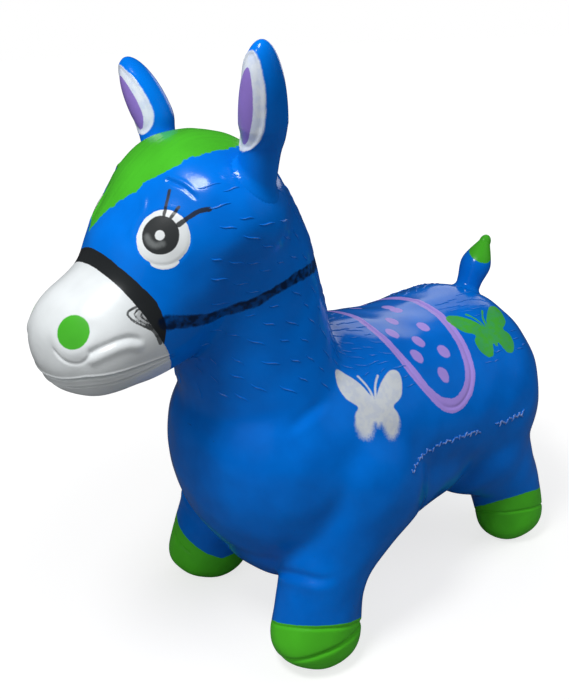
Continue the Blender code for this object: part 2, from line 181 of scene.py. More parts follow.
class HorseSizes(bpy.types.PropertyGroup):
    """Sizes of the surface and its relief."""

    voxel: length_property("Form voxel", 0.0022, "Spacing of the points of the fused form")
    mouth_depth: length_property("Mouth line depth", 0.0032, "Depth of the two moulded mouth lines")
    mouth_width: length_property("Mouth line width", 0.0012, "Half width of a mouth line")
    eye_bulge: length_property("Eye bulge", 0.0024, "How far the moulded eye stands proud")
    nostril: length_property("Nostril radius", 0.013, "Radius of a painted nostril")
    hoof_groove: length_property("Hoof groove depth", 0.0013, "Depth of the grooves round a hoof")
    saddle_groove: length_property("Saddle groove depth", 0.0009, "Depth of the line in the saddle band")
    fillet: length_property("Root fillet", 0.006, "Fillet where an ear or the tail meets the skin")
    stroke_length: length_property("Hair stroke length", 0.0160, "Mean length of a moulded hair stroke")
    stroke_width: length_property("Hair stroke width", 0.0011, "Half width of a moulded hair stroke")
    stroke_height: length_property("Hair stroke height", 0.0006, "How far a hair stroke stands proud")


def horse_sizes():
    """Sizes set in the scene."""
    return bpy.context.scene.horse_sizes


def unit(vectors):
    """Vectors scaled to length one."""
    return vectors / np.maximum(np.linalg.norm(vectors, axis=-1, keepdims=True), TINY)


def smooth_step(values):
    """Cubic rise from 0 to 1 over the same range."""
    t = np.clip(values, 0.0, 1.0)
    return t * t * (3.0 - 2.0 * t)


def mirrored(swell):
    """The same swell on the horse's right side."""
    return swell._replace(y=-swell.y)


def centre(swell):
    """Centre point of a swell."""
    return np.array(swell[:3])


def curve_through(points, step, closed=False):
    """Catmull-Rom curve through points: each span is the cubic whose end slopes are half the chord
    between the neighbours, read at even steps."""
    points = np.asarray(points, float)
    ends = (points[-1:], points[:2]) if closed else (points[:1], points[-1:])
    line = np.vstack([ends[0], points, ends[1]])
    spans = []
    for before, start, end, after in zip(line, line[1:], line[2:], line[3:]):
        count = max(2, round(np.linalg.norm((end - start)[:3]) / step))
        t = np.arange(count)[:, None] / count
        spans.append(0.5 * (2 * start + (end - before) * t
                            + (2 * before - 5 * start + 4 * end - after) * t ** 2
                            + (3 * start - before - 3 * end + after) * t ** 3))
    return np.vstack(spans if closed else spans + [points[-1:]])


def loft(swells, sides, step, yaw=0.0, taper=None, cap_rings=CAP_RINGS):
    """Closed loft: at each station of the curve through the swells an ellipse square to the curve,
    whose half axes are the swell ellipsoid's reach that way; ends are quarter-ellipse caps as long as
    the ellipsoid's reach, or the last one as long as the taper. Returns the points of (station, angle),
    the two poles, and each station's middle and direction."""
    stations = curve_through(swells, step)
    middle, half = stations[:, :3], stations[:, 3:]
    along = unit(np.vstack([middle[1:], middle[-1:]]) - np.vstack([middle[:1], middle[:-1]]))
    turn = np.array(Matrix.Rotation(yaw, 3, "Z"))
    across = turn @ (0.0, 1.0, 0.0)
    side = unit(across - along * (along @ across)[:, None])
    up = np.cross(along, side)

    def reach(direction):
        return np.sqrt((((direction @ turn) * half) ** 2).sum(1))

    angle = np.linspace(0.0, math.pi / 2, cap_rings + 1)[1:-1]
    count = len(middle)
    rows = np.concatenate([np.zeros(len(angle), int), np.arange(count), np.full(len(angle), count - 1)])
    shrink = np.concatenate([np.cos(angle[::-1]), np.ones(count), np.cos(angle)])
    ends = reach(along)
    ends[-1] = taper or ends[-1]
    offset = np.concatenate([-ends[0] * np.sin(angle[::-1]), np.zeros(count), ends[-1] * np.sin(angle)])
    turns = np.linspace(0.0, 2 * math.pi, sides, endpoint=False)[None, :, None]
    axis = middle[rows] + along[rows] * offset[:, None]
    wide = side[rows] * (reach(side)[rows] * shrink)[:, None]
    tall = up[rows] * (reach(up)[rows] * shrink)[:, None]
    grid = axis[:, None] + np.cos(turns) * wide[:, None] + np.sin(turns) * tall[:, None]
    poles = np.array((middle[0] - along[0] * ends[0], middle[-1] + along[-1] * ends[-1]))
    return grid, poles, (axis, along[rows])


def tube_faces(rows, sides):
    """Quads of a tube of rows by sides points, and the fans that close it to its two poles."""
    row = np.arange(rows - 1)[:, None] * sides
    here = np.arange(sides)[None, :]
    after = (here + 1) % sides
    quads = np.stack([row + here, row + after, row + sides + after, row + sides + here], -1).reshape(-1, 4)
    last = (rows - 1) * sides
    ring = np.arange(sides)
    onward = (ring + 1) % sides
    first_fan = np.stack([np.full(sides, rows * sides), onward, ring], -1)
    last_fan = np.stack([last + ring, last + onward, np.full(sides, rows * sides + 1)], -1)
    return quads, np.vstack([first_fan, last_fan])


def mesh_from(name, points, *face_groups):
    """Mesh of points and arrays of faces, each array with one count of corners."""
    corners = np.concatenate([group.ravel() for group in face_groups])
    sizes = np.concatenate([np.full(len(group), group.shape[1]) for group in face_groups])
    mesh = bpy.data.meshes.new(name)
    mesh.vertices.add(len(points))
    mesh.vertices.foreach_set("co", np.ascontiguousarray(points, np.float32).ravel())
    mesh.loops.add(len(corners))
    mesh.loops.foreach_set("vertex_index", corners.astype(np.int32))
    mesh.polygons.add(len(sizes))
    mesh.polygons.foreach_set("loop_start", (np.cumsum(sizes) - sizes).astype(np.int32))
    mesh.update(calc_edges=True)
    mesh.validate()
    return mesh


def object_of(data):
    """Scene object for a mesh, a camera or a lamp, at the origin."""
    made = bpy.data.objects.new(data.name, data)
    bpy.context.scene.collection.objects.link(made)
    return made


def values_of(items, name, each, kind=np.float32):
    """A property of all the items of a mesh, with so many values each, in one row."""
    values = np.empty(len(items) * each, kind)
    items.foreach_get(name, values)
    return values


def corner_normals(points, quads):
    """Point normals of a quad mesh: the sum of the cross products of its faces' diagonals."""
    face = np.cross(points[quads[:, 2]] - points[quads[:, 0]], points[quads[:, 3]] - points[quads[:, 1]])
    weights = np.repeat(face, 4, axis=0)
    total = [np.bincount(quads.ravel(), weights[:, axis], len(points)) for axis in range(3)]
    return unit(np.stack(total, -1))


def fused_form(voxel):
    """The whole skin as one smooth form: lofts joined by a voxel remesh, softened into fillets and
    inflated. Returns points, normals and quads."""
    chains = [(RUMP, LOIN, SADDLE, CHEST), (BELLY_REAR, BELLY_FRONT, BRISKET),
              (CHEST, NECK_BASE, NECK_TOP, SKULL), (SKULL, CHEEK, MUZZLE)]
    for limb in ((SHOULDER, FORELEG, FORE_HOOF), (HIP, HIND_LEG, HIND_HOOF)):
        chains += [limb, [mirrored(swell) for swell in limb]]
    points, quads, fans, count = [], [], [], 0
    for chain in chains:
        grid, poles, _ = loft(chain, FORM_SIDES, FORM_STEP)
        faces, ends = tube_faces(len(grid), FORM_SIDES)
        points += [grid.reshape(-1, 3), poles]
        quads.append(faces + count)
        fans.append(ends + count)
        count += grid.size // 3 + 2
    form = object_of(mesh_from("form", np.vstack(points), np.vstack(quads), np.vstack(fans)))
    fuse = form.modifiers.new("fuse", "REMESH")
    fuse.mode = "VOXEL"
    fuse.voxel_size = voxel
    soften = form.modifiers.new("soften", "SMOOTH")
    soften.factor = FILLET_STRENGTH
    soften.iterations = round(FILLET_PASSES * (FILLET_VOXEL / voxel) ** 2)
    inflate = form.modifiers.new("inflate", "DISPLACE")
    inflate.strength = INFLATION
    inflate.mid_level = 0.0
    bpy.context.view_layer.update()
    made = form.evaluated_get(bpy.context.evaluated_depsgraph_get()).to_mesh()
    points = values_of(made.vertices, "co", 3).reshape(-1, 3).astype(float)
    quads = values_of(made.loops, "vertex_index", 1, np.int32).reshape(-1, 4)
    bpy.data.objects.remove(form, do_unlink=True)
    return points, corner_normals(points, quads), quads


def refined(points, normals, quads):
    """Each quad split into four on a curved patch: an edge's middle is (A + B) / 2 moved by
    ((d.Nb)Nb - (d.Na)Na) / 8 with d = B - A, and a face's middle is half the sum of its edge middles
    less a quarter of the sum of its corners."""
    sides = np.stack([quads, np.roll(quads, -1, axis=1)], -1).reshape(-1, 2)
    edges, which = np.unique(np.sort(sides, axis=1), axis=0, return_inverse=True)
    which = which.reshape(-1, 4)
    first, second = edges.T
    step = points[second] - points[first]
    lean = ((step * normals[second]).sum(1)[:, None] * normals[second]
            - (step * normals[first]).sum(1)[:, None] * normals[first])
    middles = (points[first] + points[second]) / 2 + lean / 8
    edge_normals = unit(normals[first] + normals[second])
    hubs = middles[which].sum(1) / 2 - points[quads].sum(1) / 4
    hub_normals = unit(edge_normals[which].sum(1))
    edge_start = len(points)
    hub = np.arange(len(quads)) + edge_start + len(edges)
    split = [np.stack([quads[:, k], which[:, k] + edge_start, hub, which[:, k - 1] + edge_start], -1)
             for k in range(4)]
    return (np.vstack([points, middles, hubs]), np.vstack([normals, edge_normals, hub_normals]),
            np.vstack(split))


def near_box(points, path, margin):
    """Which points lie in the box round a path, grown by a margin."""
    return ((points > path.min(0) - margin) & (points < path.max(0) + margin)).all(1)


def path_distance(points, path, margin=NEAR):
    """Distance of each point from a polyline, and how far along it, from 0 to 1, the nearest place is;
    points further off than the margin get FAR."""
    path = np.asarray(path, float)
    lengths = np.linalg.norm(np.diff(path, axis=0), axis=1)
    walked = np.concatenate([[0.0], np.cumsum(lengths)])
    near = near_box(points, path, margin)
    close = points[near]
    best = np.full(len(close), FAR)
    along = np.zeros(len(close))
    for index, start in enumerate(path[:-1]):
        reach = path[index + 1] - start
        t = np.clip((close - start) @ reach / max(reach @ reach, TINY ** 2), 0.0, 1.0)
        gap = np.linalg.norm(close - start - t[:, None] * reach, axis=1)
        closer = gap < best
        best[closer] = gap[closer]
        along[closer] = (walked[index] + t * lengths[index])[closer] / walked[-1]
    distance, place = np.full(len(points), FAR), np.zeros(len(points))
    distance[near], place[near] = best, along
    return distance, place


def inside_distance(points, outline, margin=NEAR):
    """Signed distance from a closed outline, positive inside: the nearest side's distance with the
    sign of the even-odd rule."""
    outline = np.asarray(outline, float)
    distance, _ = path_distance(points, np.vstack([outline, outline[:1]]), margin)
    near = np.flatnonzero(near_box(points, outline, 0.0))
    x, y = points[near].T
    inside = np.zeros(len(near), bool)
    for start, end in zip(outline, np.roll(outline, -1, axis=0)):
        rise = end[1] - start[1] or TINY
        crosses = (start[1] > y) != (end[1] > y)
        inside ^= crosses & (x < (end[0] - start[0]) * (y - start[1]) / rise + start[0])
    distance[near[~inside]] *= -1.0
    outside = np.ones(len(points), bool)
    outside[near] = False
    distance[outside] *= -1.0
    return distance


def folded(points):
    """Points with the right side laid over the left."""
    return points * (1, 0, 1) + np.abs(points) * (0, 1, 0)


# Spacing of the points on the curves through the paths below
EYE_STEP = 0.002
FACE_STEP = 0.003
BODY_STEP = 0.004
EDGE_STEP = 0.006

# Face: where the paint and the moulded lines lie, on the left side

# Distance along the nose axis, positive towards the lips
NOSE_AXIS = np.array((0.905, 0.0, -0.425))
MUZZLE_EDGE = 0.0562
MUZZLE_SEAM = 0.0555
HEAD_LOW = 0.28
NOSE_LOW = 0.362
BAND_HEIGHTS = (0.343, 0.358, 0.378, 0.405)
BAND_BACK = (0.0568, 0.0478, 0.0431, 0.0463)
BAND_LAP = 0.0006
FLICK = ((0.2371, 0.052, 0.3776), (0.247, 0.0507, 0.3742), (0.247, 0.0528, 0.370),
         (0.2411, 0.0561, 0.3638), (0.232, 0.0585, 0.3579), (0.227, 0.0585, 0.3463))
FLICK_CORE = ((0.2345, 0.0545, 0.3745), (0.240, 0.0548, 0.3695), (0.231, 0.0585, 0.3625))
BRISTLES = (((0.2375, 0.0531, 0.3755), (0.2432, 0.0528, 0.3722), (0.2400, 0.0555, 0.3662),
             (0.2315, 0.0585, 0.3602)),
            ((0.2345, 0.0545, 0.3742), (0.2388, 0.0549, 0.3705), (0.2360, 0.0568, 0.3662),
             (0.2300, 0.0588, 0.3625)),
            ((0.2315, 0.0583, 0.3610), (0.2282, 0.0590, 0.3560), (0.2262, 0.0588, 0.3500)))
FLICK_WIDTH = 0.0010
FLICK_CORE_WIDTH = 0.0034
BRISTLE_WIDTH = 0.0008
STRAP = ((0.2216, 0.0592, 0.3609), (0.2054, 0.0616, 0.3581), (0.1826, 0.0617, 0.3554),
         (0.1564, 0.066, 0.3581), (0.136, 0.0728, 0.364), (0.1101, 0.0733, 0.3716),
         (0.0908, 0.068, 0.3729), (0.0701, 0.0565, 0.372), (0.054, 0.032, 0.371), (0.047, 0.0, 0.371))
STRAP_PLACES = (0.0, 0.25, 0.45, 0.65, 1.0)
STRAP_HALVES = (0.0058, 0.0052, 0.0040, 0.0050, 0.0055)
FORELOCK = ((0.2395, -0.0175), (0.236, -0.015), (0.2284, -0.0053), (0.2163, 0.0125), (0.2017, 0.0262),
            (0.1849, 0.0406), (0.1538, 0.0494), (0.1342, 0.0455), (0.115, 0.035), (0.106, 0.0),
            (0.115, -0.035), (0.1342, -0.0455), (0.1538, -0.0520), (0.1849, -0.050), (0.2017, -0.044),
            (0.2163, -0.038), (0.2284, -0.030), (0.236, -0.022))
FORELOCK_LOW = 0.40
STRAND_SPACING = 0.0085
STRAND_HEIGHT = 0.00011
# Strands sweep aside behind the nose, swing from side to side, fade in from the paint's edge and break up
STRAND_SWEEP = 0.13
STRAND_FROM = 0.12
STRAND_SWING = 0.0025
STRAND_SWING_LENGTH = 0.011
STRAND_EDGE = 0.010
STRAND_BREAK_LENGTH = 0.017
STRAND_BREAK_WIDTH = 0.006
EYE = np.array((0.2131, 0.0516, 0.4262))
EYE_RIGHT = np.array((-0.686, 0.727, -0.005))
EYE_UP = np.array((-0.221, -0.264, 0.939))
EYE_REACH = 0.060
EYE_BULGE_RADIUS = 0.031
EYE_RIM_HALF = 0.0012
EYE_RIM_DEPTH = 0.0005
# Ovals on the plane of the eye: the middle, right and up, and the half sizes
EYE_WHITE = (0.0015, -0.0016, 0.0205, 0.0205)
EYE_LOWER_LID = (0.0024, -0.0195, 0.0105, 0.0056)
IRIS = (0.0, 0.0, 0.0142, 0.0142)
DOT = (-0.0002, -0.0002, 0.0037, 0.0037)
GLINT = ((-0.0100, -0.0010), (-0.0078, -0.0052), (-0.0030, -0.0076), (0.0018, -0.0064))
GLINT_HALF = 0.0022
LASHES = (((0.0024, 0.0135), (0.0036, 0.0230), (0.0051, 0.0334)),
          ((0.0078, 0.0125), (0.0105, 0.0165), (0.0132, 0.0200)),
          ((0.0135, 0.0070), (0.0216, 0.0126), (0.0293, 0.0167), (0.0364, 0.0175)))
LASH_HALVES = (0.0013, 0.0013, 0.0018)
NOSTRIL = np.array((0.2857, 0.0351, 0.3646))
NOSTRIL_DISH = 0.0004
NOSTRIL_DISH_SHARE = 0.8
NOSTRIL_LIP = 0.0160
NOSTRIL_LIP_HALF = 0.0048
NOSTRIL_LIP_RISE = 0.0009
NOSTRIL_LIP_FROM = 0.3
CRESCENT = ((0.2973, 0.021, 0.3534), (0.2964, 0.0272, 0.3469), (0.2923, 0.0342, 0.3422),
            (0.2861, 0.0412, 0.3417), (0.2814, 0.046, 0.3458), (0.2782, 0.0479, 0.3518))
CHEEK_FOLD = ((0.2784, 0.0479, 0.3503), (0.2696, 0.0522, 0.3538), (0.2586, 0.0556, 0.3564),
              (0.2493, 0.0568, 0.3557), (0.2398, 0.0584, 0.3503))
MOUTH_LINES = (((0.190, 0.3310), (0.2218, 0.3313), (0.2448, 0.3312), (0.2682, 0.3304), (0.2838, 0.3295),
                (0.2948, 0.3256), (0.310, 0.3225)),
               ((0.190, 0.3290), (0.2181, 0.3279), (0.2442, 0.3252), (0.2638, 0.3225), (0.2801, 0.3212),
                (0.2906, 0.3175), (0.310, 0.3130)))
MOUTH_FROM = 0.0500
MOUTH_FADE = 0.008
# A mouth line's groove lies below it and its lip above, by these shares of its half width
MOUTH_GROOVE = 0.7
MOUTH_LIP = 0.6
MOUTH_LIP_RISE = 0.0010
BROW = ((0.1958, 0.0398, 0.4632), (0.1938, 0.0461, 0.4615), (0.1903, 0.0539, 0.4582),
        (0.1883, 0.0611, 0.4537), (0.1868, 0.0662, 0.4489))
SOCKET = ((-0.0160, 0.0360), (-0.0152, 0.0270), (-0.0158, 0.0190), (-0.0205, 0.0110), (-0.0232, 0.0030),
          (-0.0228, -0.0060))
SHOULDER_FOLD = ((0.0796, 0.0845, 0.2611), (0.0993, 0.087, 0.2561), (0.1157, 0.0862, 0.2499),
                 (0.1334, 0.0815, 0.2391))

# Back: the saddle and butterflies lie on the trunk unrolled about its axis, X along and the arc
# A = ROLL_RADIUS * angle from the spine down
ROLL_HEIGHT = 0.185
ROLL_RADIUS = 0.107
SADDLE_EDGE = ((-0.0172, -0.040), (-0.0172, 0.0015), (-0.0160, 0.0227), (-0.0140, 0.0480), (-0.0140, 0.0749),
               (-0.0160, 0.0976), (-0.0225, 0.1168), (-0.0377, 0.1381), (-0.0550, 0.1460), (-0.0700, 0.1445),
               (-0.0860, 0.1360), (-0.0980, 0.1220), (-0.1060, 0.1030), (-0.1120, 0.0820), (-0.1170, 0.0600),
               (-0.1197, 0.0385), (-0.1221, 0.0087), (-0.1225, -0.040))
SADDLE_INNER = ((-0.0255, -0.040), (-0.0255, 0.0011), (-0.0243, 0.0230), (-0.0232, 0.0480), (-0.0238, 0.0749),
                (-0.0268, 0.0960), (-0.0315, 0.1120), (-0.0405, 0.1250), (-0.0540, 0.1325), (-0.0680, 0.1315),
                (-0.0800, 0.1240), (-0.0890, 0.1120), (-0.0960, 0.0950), (-0.1015, 0.0750), (-0.1065, 0.0540),
                (-0.1105, 0.0291), (-0.1120, 0.0054), (-0.1120, -0.040))
SADDLE_LINE = 0.0048
SADDLE_LINE_HALF = 0.0015
SPOTS = ((-0.0823, 0.0067), (-0.0552, 0.0295), (-0.0354, 0.0500), (-0.0808, 0.0517), (-0.0567, 0.0687),
         (-0.0394, 0.0840), (-0.0768, 0.0887), (-0.0577, 0.1098))
SPOT_HALF_LENGTH = 0.0066
SPOT_HALF_ARC = 0.0080

# Half of a butterfly, from its head round the upper and lower wing to its tail, in half spans
WING = ((0.00, 0.20), (0.07, 0.26), (0.34, 0.62), (0.72, 0.92), (0.98, 0.90), (1.00, 0.60), (0.84, 0.24),
        (0.54, 0.02), (0.66, -0.16), (0.68, -0.44), (0.50, -0.70), (0.26, -0.66), (0.10, -0.36),
        (0.05, -0.44), (0.00, -0.46))
FEELER = ((0.03, 0.22), (0.12, 0.52), (0.30, 0.80))
FEELER_HALF = 0.030
WING_STEP = 0.06
WING_NEAR = 0.5
Butterfly = namedtuple("Butterfly", "x arc half_span turn")
WHITE_BUTTERFLY = Butterfly(0.038, 0.1130, 0.0360, math.radians(164.0))
GREEN_BUTTERFLY = Butterfly(-0.1480, 0.0880, 0.0370, math.radians(172.0))
FADE_TOP = 0.0
FADE_DEPTH = 0.7
FADE_STRENGTH = 5.0
FAR_SIDE_DROP = 0.012

# Hooves: heights at the hoof's middle and slopes along X and outwards of the paint line, of the groove
# below it and of the front hooves' crease above the sole
HOOVES = {"front": FORE_HOOF, "rear": HIND_HOOF}
HOOF_LINES = {("front", 1): (0.0414, 0.37, 0.43), ("front", -1): (0.0500, 0.47, 0.50),
              ("rear", 1): (0.0440, 0.18, 0.73), ("rear", -1): (0.0440, 0.18, 0.73)}
HOOF_GROOVES = {"front": (0.0374, 0.39, 0.42), "rear": (0.0309, 0.24, 0.41)}
HOOF_CREASE = (0.0186, -0.03, 0.42)
HOOF_LEAST = 0.034
HOOF_GROOVE_HALF = 0.0015
HOOF_CREASE_HALF = 0.0024
HOOF_CREASE_DEEPER = 2.0
# They fade in outwards over a width, from these shares of it inside the hoof's middle
HOOF_FADE = 0.020
HOOF_GROOVE_FROM = 1.6
HOOF_CREASE_FROM = 0.5
LEG_FOLD = ((0.124, 0.0530, 0.0800), (0.130, 0.0634, 0.0879), (0.1326, 0.0837, 0.0979),
            (0.1288, 0.1009, 0.102), (0.1194, 0.1149, 0.1019), (0.1054, 0.1235, 0.1051))

# Valve pad under the belly
VALVE_X = -0.035
PAD_RADIUS = 0.017
PAD_EDGE = 0.003
PAD_DROP = 0.0015
VALVE_BORE = 0.0085

# Soft lumps of the inflated skin
LUMP_WAYS = np.array(((1.0, 0.3, 0.2), (-0.2, 1.0, 0.4), (0.3, -0.4, 1.0)))
LUMP_PHASES = np.array((0.4, 1.1, 2.3))
LUMP_LENGTH = 0.062
LUMP_HEIGHT = 0.0007

# A moulded line: its path, how far it is moved from there, its half width, its height (less than 0 for a
# groove), and how fast it grows from nothing at its start and at its end (0 for an end that stays full)
Line = namedtuple("Line", "path moved half height start end")
FACE_LINES = (
    Line(BROW, (0.0, 0.0, 0.0), 0.0016, -0.0011, 0.0, 4.0),
    Line(BROW, (-0.0006, -0.0010, 0.0034), 0.0022, 0.0009, 0.0, 4.0),
    Line(CRESCENT, (0.0, 0.0, 0.0), 0.0015, -0.0016, 6.0, 6.0),
    Line(CHEEK_FOLD, (0.0, 0.0, 0.0), 0.0026, -0.0019, 0.0, 5.0),
    Line(CHEEK_FOLD, (0.0, 0.0, -0.0062), 0.0038, 0.0020, 0.0, 4.0),
)
SOCKET_LINE = Line(SOCKET, (0.0, 0.0), 0.0030, 0.0011, 4.0, 4.0)
# A fold: its path, its groove's half width and depth, and how far below it a ridge runs, with its half
# width and height; both run out at the path's ends
Fold = namedtuple("Fold", "path groove_half depth below ridge_half rise")
FOLDS = (Fold(SHOULDER_FOLD, 0.0060, 0.0016, 0.011, 0.0060, 0.0012),
         Fold(LEG_FOLD, 0.0038, 0.0026, 0.009, 0.0050, 0.0018))
FOLD_ENDS = 3.0


def nose_distance(points):
    """Distance along the nose's axis."""
    return points @ NOSE_AXIS


def eye_plane(points):
    """Places on the plane of the eye, right and up from the iris's middle, far places pushed away."""
    offset = folded(points) - EYE
    plane = np.stack([offset @ EYE_RIGHT, offset @ EYE_UP], -1)
    far = np.linalg.norm(offset, axis=1) > EYE_REACH
    return np.where(far[:, None], 1.0, plane)


def rolled(points):
    """Places on the unrolled trunk: X, and the arc from the spine down either side."""
    arc = ROLL_RADIUS * np.arctan2(np.abs(points[:, 1]), points[:, 2] - ROLL_HEIGHT)
    return np.stack([points[:, 0], arc], -1)


def oval(places, middle_x, middle_y, half_x, half_y):
    """Distance inside an oval, near its edge: (1 - r) times the mean half size, r its own radius."""
    spread = np.hypot((places[:, 0] - middle_x) / half_x, (places[:, 1] - middle_y) / half_y)
    return (1.0 - spread) * (half_x + half_y) / 2


def stroke(points, path, half_width, margin=NEAR):
    """Distance inside a stroke of a half width, or of half widths spread along it."""
    distance, along = path_distance(points, path, margin)
    halves = np.atleast_1d(half_width)
    return np.interp(along, np.linspace(0.0, 1.0, len(halves)), halves) - distance


def muzzle_coat(points):
    """White ahead of a plane square to the nose's axis, on the head only."""
    return np.minimum(nose_distance(points) - MUZZLE_EDGE, points[:, 2] - HEAD_LOW)


def noseband_coat(points):
    """Band behind the white, running out to nothing low on each cheek."""
    place = nose_distance(points)
    back = np.interp(points[:, 2], BAND_HEIGHTS, BAND_BACK)
    return np.minimum(place - back, MUZZLE_EDGE + BAND_LAP - place)


def flick_coat(points):
    """The brush's turned end on the white, with the marks of its bristles."""
    left = folded(points)
    loop = stroke(left, curve_through(FLICK, FACE_STEP), (FLICK_WIDTH, FLICK_WIDTH, 2 * FLICK_WIDTH))
    marks = [stroke(left, curve_through(mark, FACE_STEP), BRISTLE_WIDTH) for mark in BRISTLES]
    return np.max([loop] + marks, axis=0)


def flick_core_coat(points):
    """Dry middle of the brush's turned end."""
    return stroke(folded(points), FLICK_CORE, FLICK_CORE_WIDTH)


def strap_coat(points):
    """Thin strap from the noseband round the back of the neck."""
    distance, along = path_distance(folded(points), curve_through(STRAP, EDGE_STEP))
    return np.interp(along, STRAP_PLACES, STRAP_HALVES) - distance


def forelock_coat(points):
    """Forelock on the crown, seen from above, swept to a point over the nose."""
    inside = inside_distance(points[:, :2], curve_through(FORELOCK, EDGE_STEP, closed=True))
    return np.minimum(inside, points[:, 2] - FORELOCK_LOW)


def eye_ovals(*ovals):
    """Measure of a coat of ovals on the plane of the eye."""
    return lambda points: np.max([oval(eye_plane(points), *each) for each in ovals], axis=0)


def glint_coat(points):
    """Soft grey glint, brushed in an arc below the dot."""
    return stroke(eye_plane(points), curve_through(GLINT, EYE_STEP), GLINT_HALF)


def lash_coat(points):
    """Three brushed lashes."""
    places = eye_plane(points)
    return np.max([stroke(places, curve_through(path, FACE_STEP), half)
                   for path, half in zip(LASHES, LASH_HALVES)], axis=0)


def nostril_coat(points):
    """Round nostrils."""
    return horse_sizes().nostril - np.linalg.norm(folded(points) - NOSTRIL, axis=1)


def saddle_inside(points, edge):
    """Distance inside one of the saddle's edges on the unrolled trunk."""
    return inside_distance(rolled(points), curve_through(edge, BODY_STEP, closed=True))


def saddle_coat(points):
    """Band between the saddle's outer and inner edges."""
    return np.minimum(saddle_inside(points, SADDLE_EDGE), -saddle_inside(points, SADDLE_INNER))


def spot_coat(points):
    """Oval spots on the saddle."""
    places = rolled(points)
    return np.max([oval(places, x, arc, SPOT_HALF_LENGTH, SPOT_HALF_ARC) for x, arc in SPOTS], axis=0)


def butterfly_places(points, butterfly):
    """Places in a butterfly's own frame, in half spans, head up."""
    drop = FAR_SIDE_DROP * (points[:, 1] < 0.0)
    middle = np.stack([np.full(len(points), butterfly.x), butterfly.arc + drop], -1)
    offset = (rolled(points) - middle) / butterfly.half_span
    cos, sin = math.cos(butterfly.turn), math.sin(butterfly.turn)
    return np.stack([offset @ (cos, sin), offset @ (-sin, cos)], -1)


def butterfly_coat(points, butterfly):
    """Four wings, a body and two feelers: one wing pair's smooth outline, laid over for the other."""
    places = butterfly_places(points, butterfly)
    half = np.stack([np.abs(places[:, 0]), places[:, 1]], -1)
    mirror = [(-x, y) for x, y in WING[-2:0:-1]]
    outline = curve_through(list(WING) + mirror, WING_STEP, closed=True)
    wings = inside_distance(places, outline, WING_NEAR)
    feelers = stroke(half, curve_through(FEELER, WING_STEP), FEELER_HALF, WING_NEAR)
    return np.maximum(wings, feelers) * butterfly.half_span


def white_butterfly_coat(points):
    """Sprayed butterfly on each shoulder, whose lower edge fades: there the distance counts for less."""
    low = smooth_step((FADE_TOP - butterfly_places(points, WHITE_BUTTERFLY)[:, 1]) / FADE_DEPTH)
    return butterfly_coat(points, WHITE_BUTTERFLY) / (1.0 + FADE_STRENGTH * low)


def green_butterfly_coat(points):
    """Sprayed butterfly on each side of the rump."""
    return butterfly_coat(points, GREEN_BUTTERFLY)


def hoof_height(points, end, side, plane):
    """Height, at each point's place, of a plane given at a hoof's middle, less the point's own height."""
    hoof = HOOVES[end]
    height, slope_x, slope_y = plane
    rise = slope_x * (points[:, 0] - hoof.x) + slope_y * (side * points[:, 1] - hoof.y)
    return np.maximum(height + rise, 0.0) - points[:, 2]


def at_hoof(points, end, side):
    """Which points are at one end and side of the horse."""
    return (points[:, 1] * side > 0) & ((points[:, 0] > 0) == (end == "front"))


def hoof_coat(points):
    """Green below each hoof's slanted paint line, and never less than a low band."""
    best = np.full(len(points), -FAR)
    for (end, side), plane in HOOF_LINES.items():
        line = np.maximum(hoof_height(points, end, side, plane), HOOF_LEAST - points[:, 2])
        best = np.where(at_hoof(points, end, side), line, best)
    return best


# A coat of paint: its measure, colour, roughness; in millimetres the half width of its edge, the fine
# wander and the slow sway of that edge; how much it covers and how patchy it is.
Coat = namedtuple("Coat", "name measure colour roughness edge wander sway cover patchy")
COATS = (
    Coat("muzzle", muzzle_coat, "white", 0.28, 0.25, 0.4, 0.6, 1.0, 0.0),
    Coat("noseband", noseband_coat, "black", 0.28, 0.25, 0.3, 0.5, 1.0, 0.0),
    Coat("flick_core", flick_core_coat, "black", 0.45, 1.4, 0.8, 1.2, 0.50, 0.3),
    Coat("flick", flick_coat, "black", 0.40, 0.35, 0.5, 0.6, 0.95, 0.1),
    Coat("strap", strap_coat, "strap", 0.30, 1.2, 0.8, 2.2, 0.94, 0.3),
    Coat("forelock", forelock_coat, "green", 0.26, 0.5, 0.8, 4.0, 1.0, 0.0),
    Coat("eye_white", eye_ovals(EYE_WHITE, EYE_LOWER_LID), "white", 0.36, 0.25, 0.4, 0.6, 1.0, 0.0),
    Coat("iris", eye_ovals(IRIS), "black", 0.36, 0.35, 0.2, 0.3, 0.98, 0.0),
    Coat("glint", glint_coat, "glint", 0.40, 1.7, 0.5, 0.6, 0.42, 0.2),
    Coat("dot", eye_ovals(DOT), "white", 0.34, 0.45, 0.2, 0.2, 1.0, 0.0),
    Coat("lashes", lash_coat, "black", 0.36, 0.4, 0.4, 0.4, 0.95, 0.0),
    Coat("nostril", nostril_coat, "green", 0.34, 0.45, 0.2, 0.5, 1.0, 0.0),
    Coat("saddle_band", saddle_coat, "purple", 0.38, 0.35, 0.6, 1.2, 1.0, 0.0),
    Coat("saddle_spots", spot_coat, "purple", 0.38, 0.7, 0.5, 1.2, 1.0, 0.0),
    Coat("white_butterfly", white_butterfly_coat, "white", 0.38, 0.7, 0.4, 0.5, 0.94, 0.10),
    Coat("green_butterfly", green_butterfly_coat, "green", 0.36, 0.6, 0.7, 1.0, 0.97, 0.09),
    Coat("hooves", hoof_coat, "hoof_green", 0.26, 0.4, 0.5, 0.9, 1.0, 0.0),
)
COAT_MARGIN = 6.0


def bell(distance, half_width, height):
    """Rounded ridge, or a groove if the height is below 0: height * exp(-(distance / half width) ** 2)."""
    return height * np.exp(-(distance / half_width) ** 2)


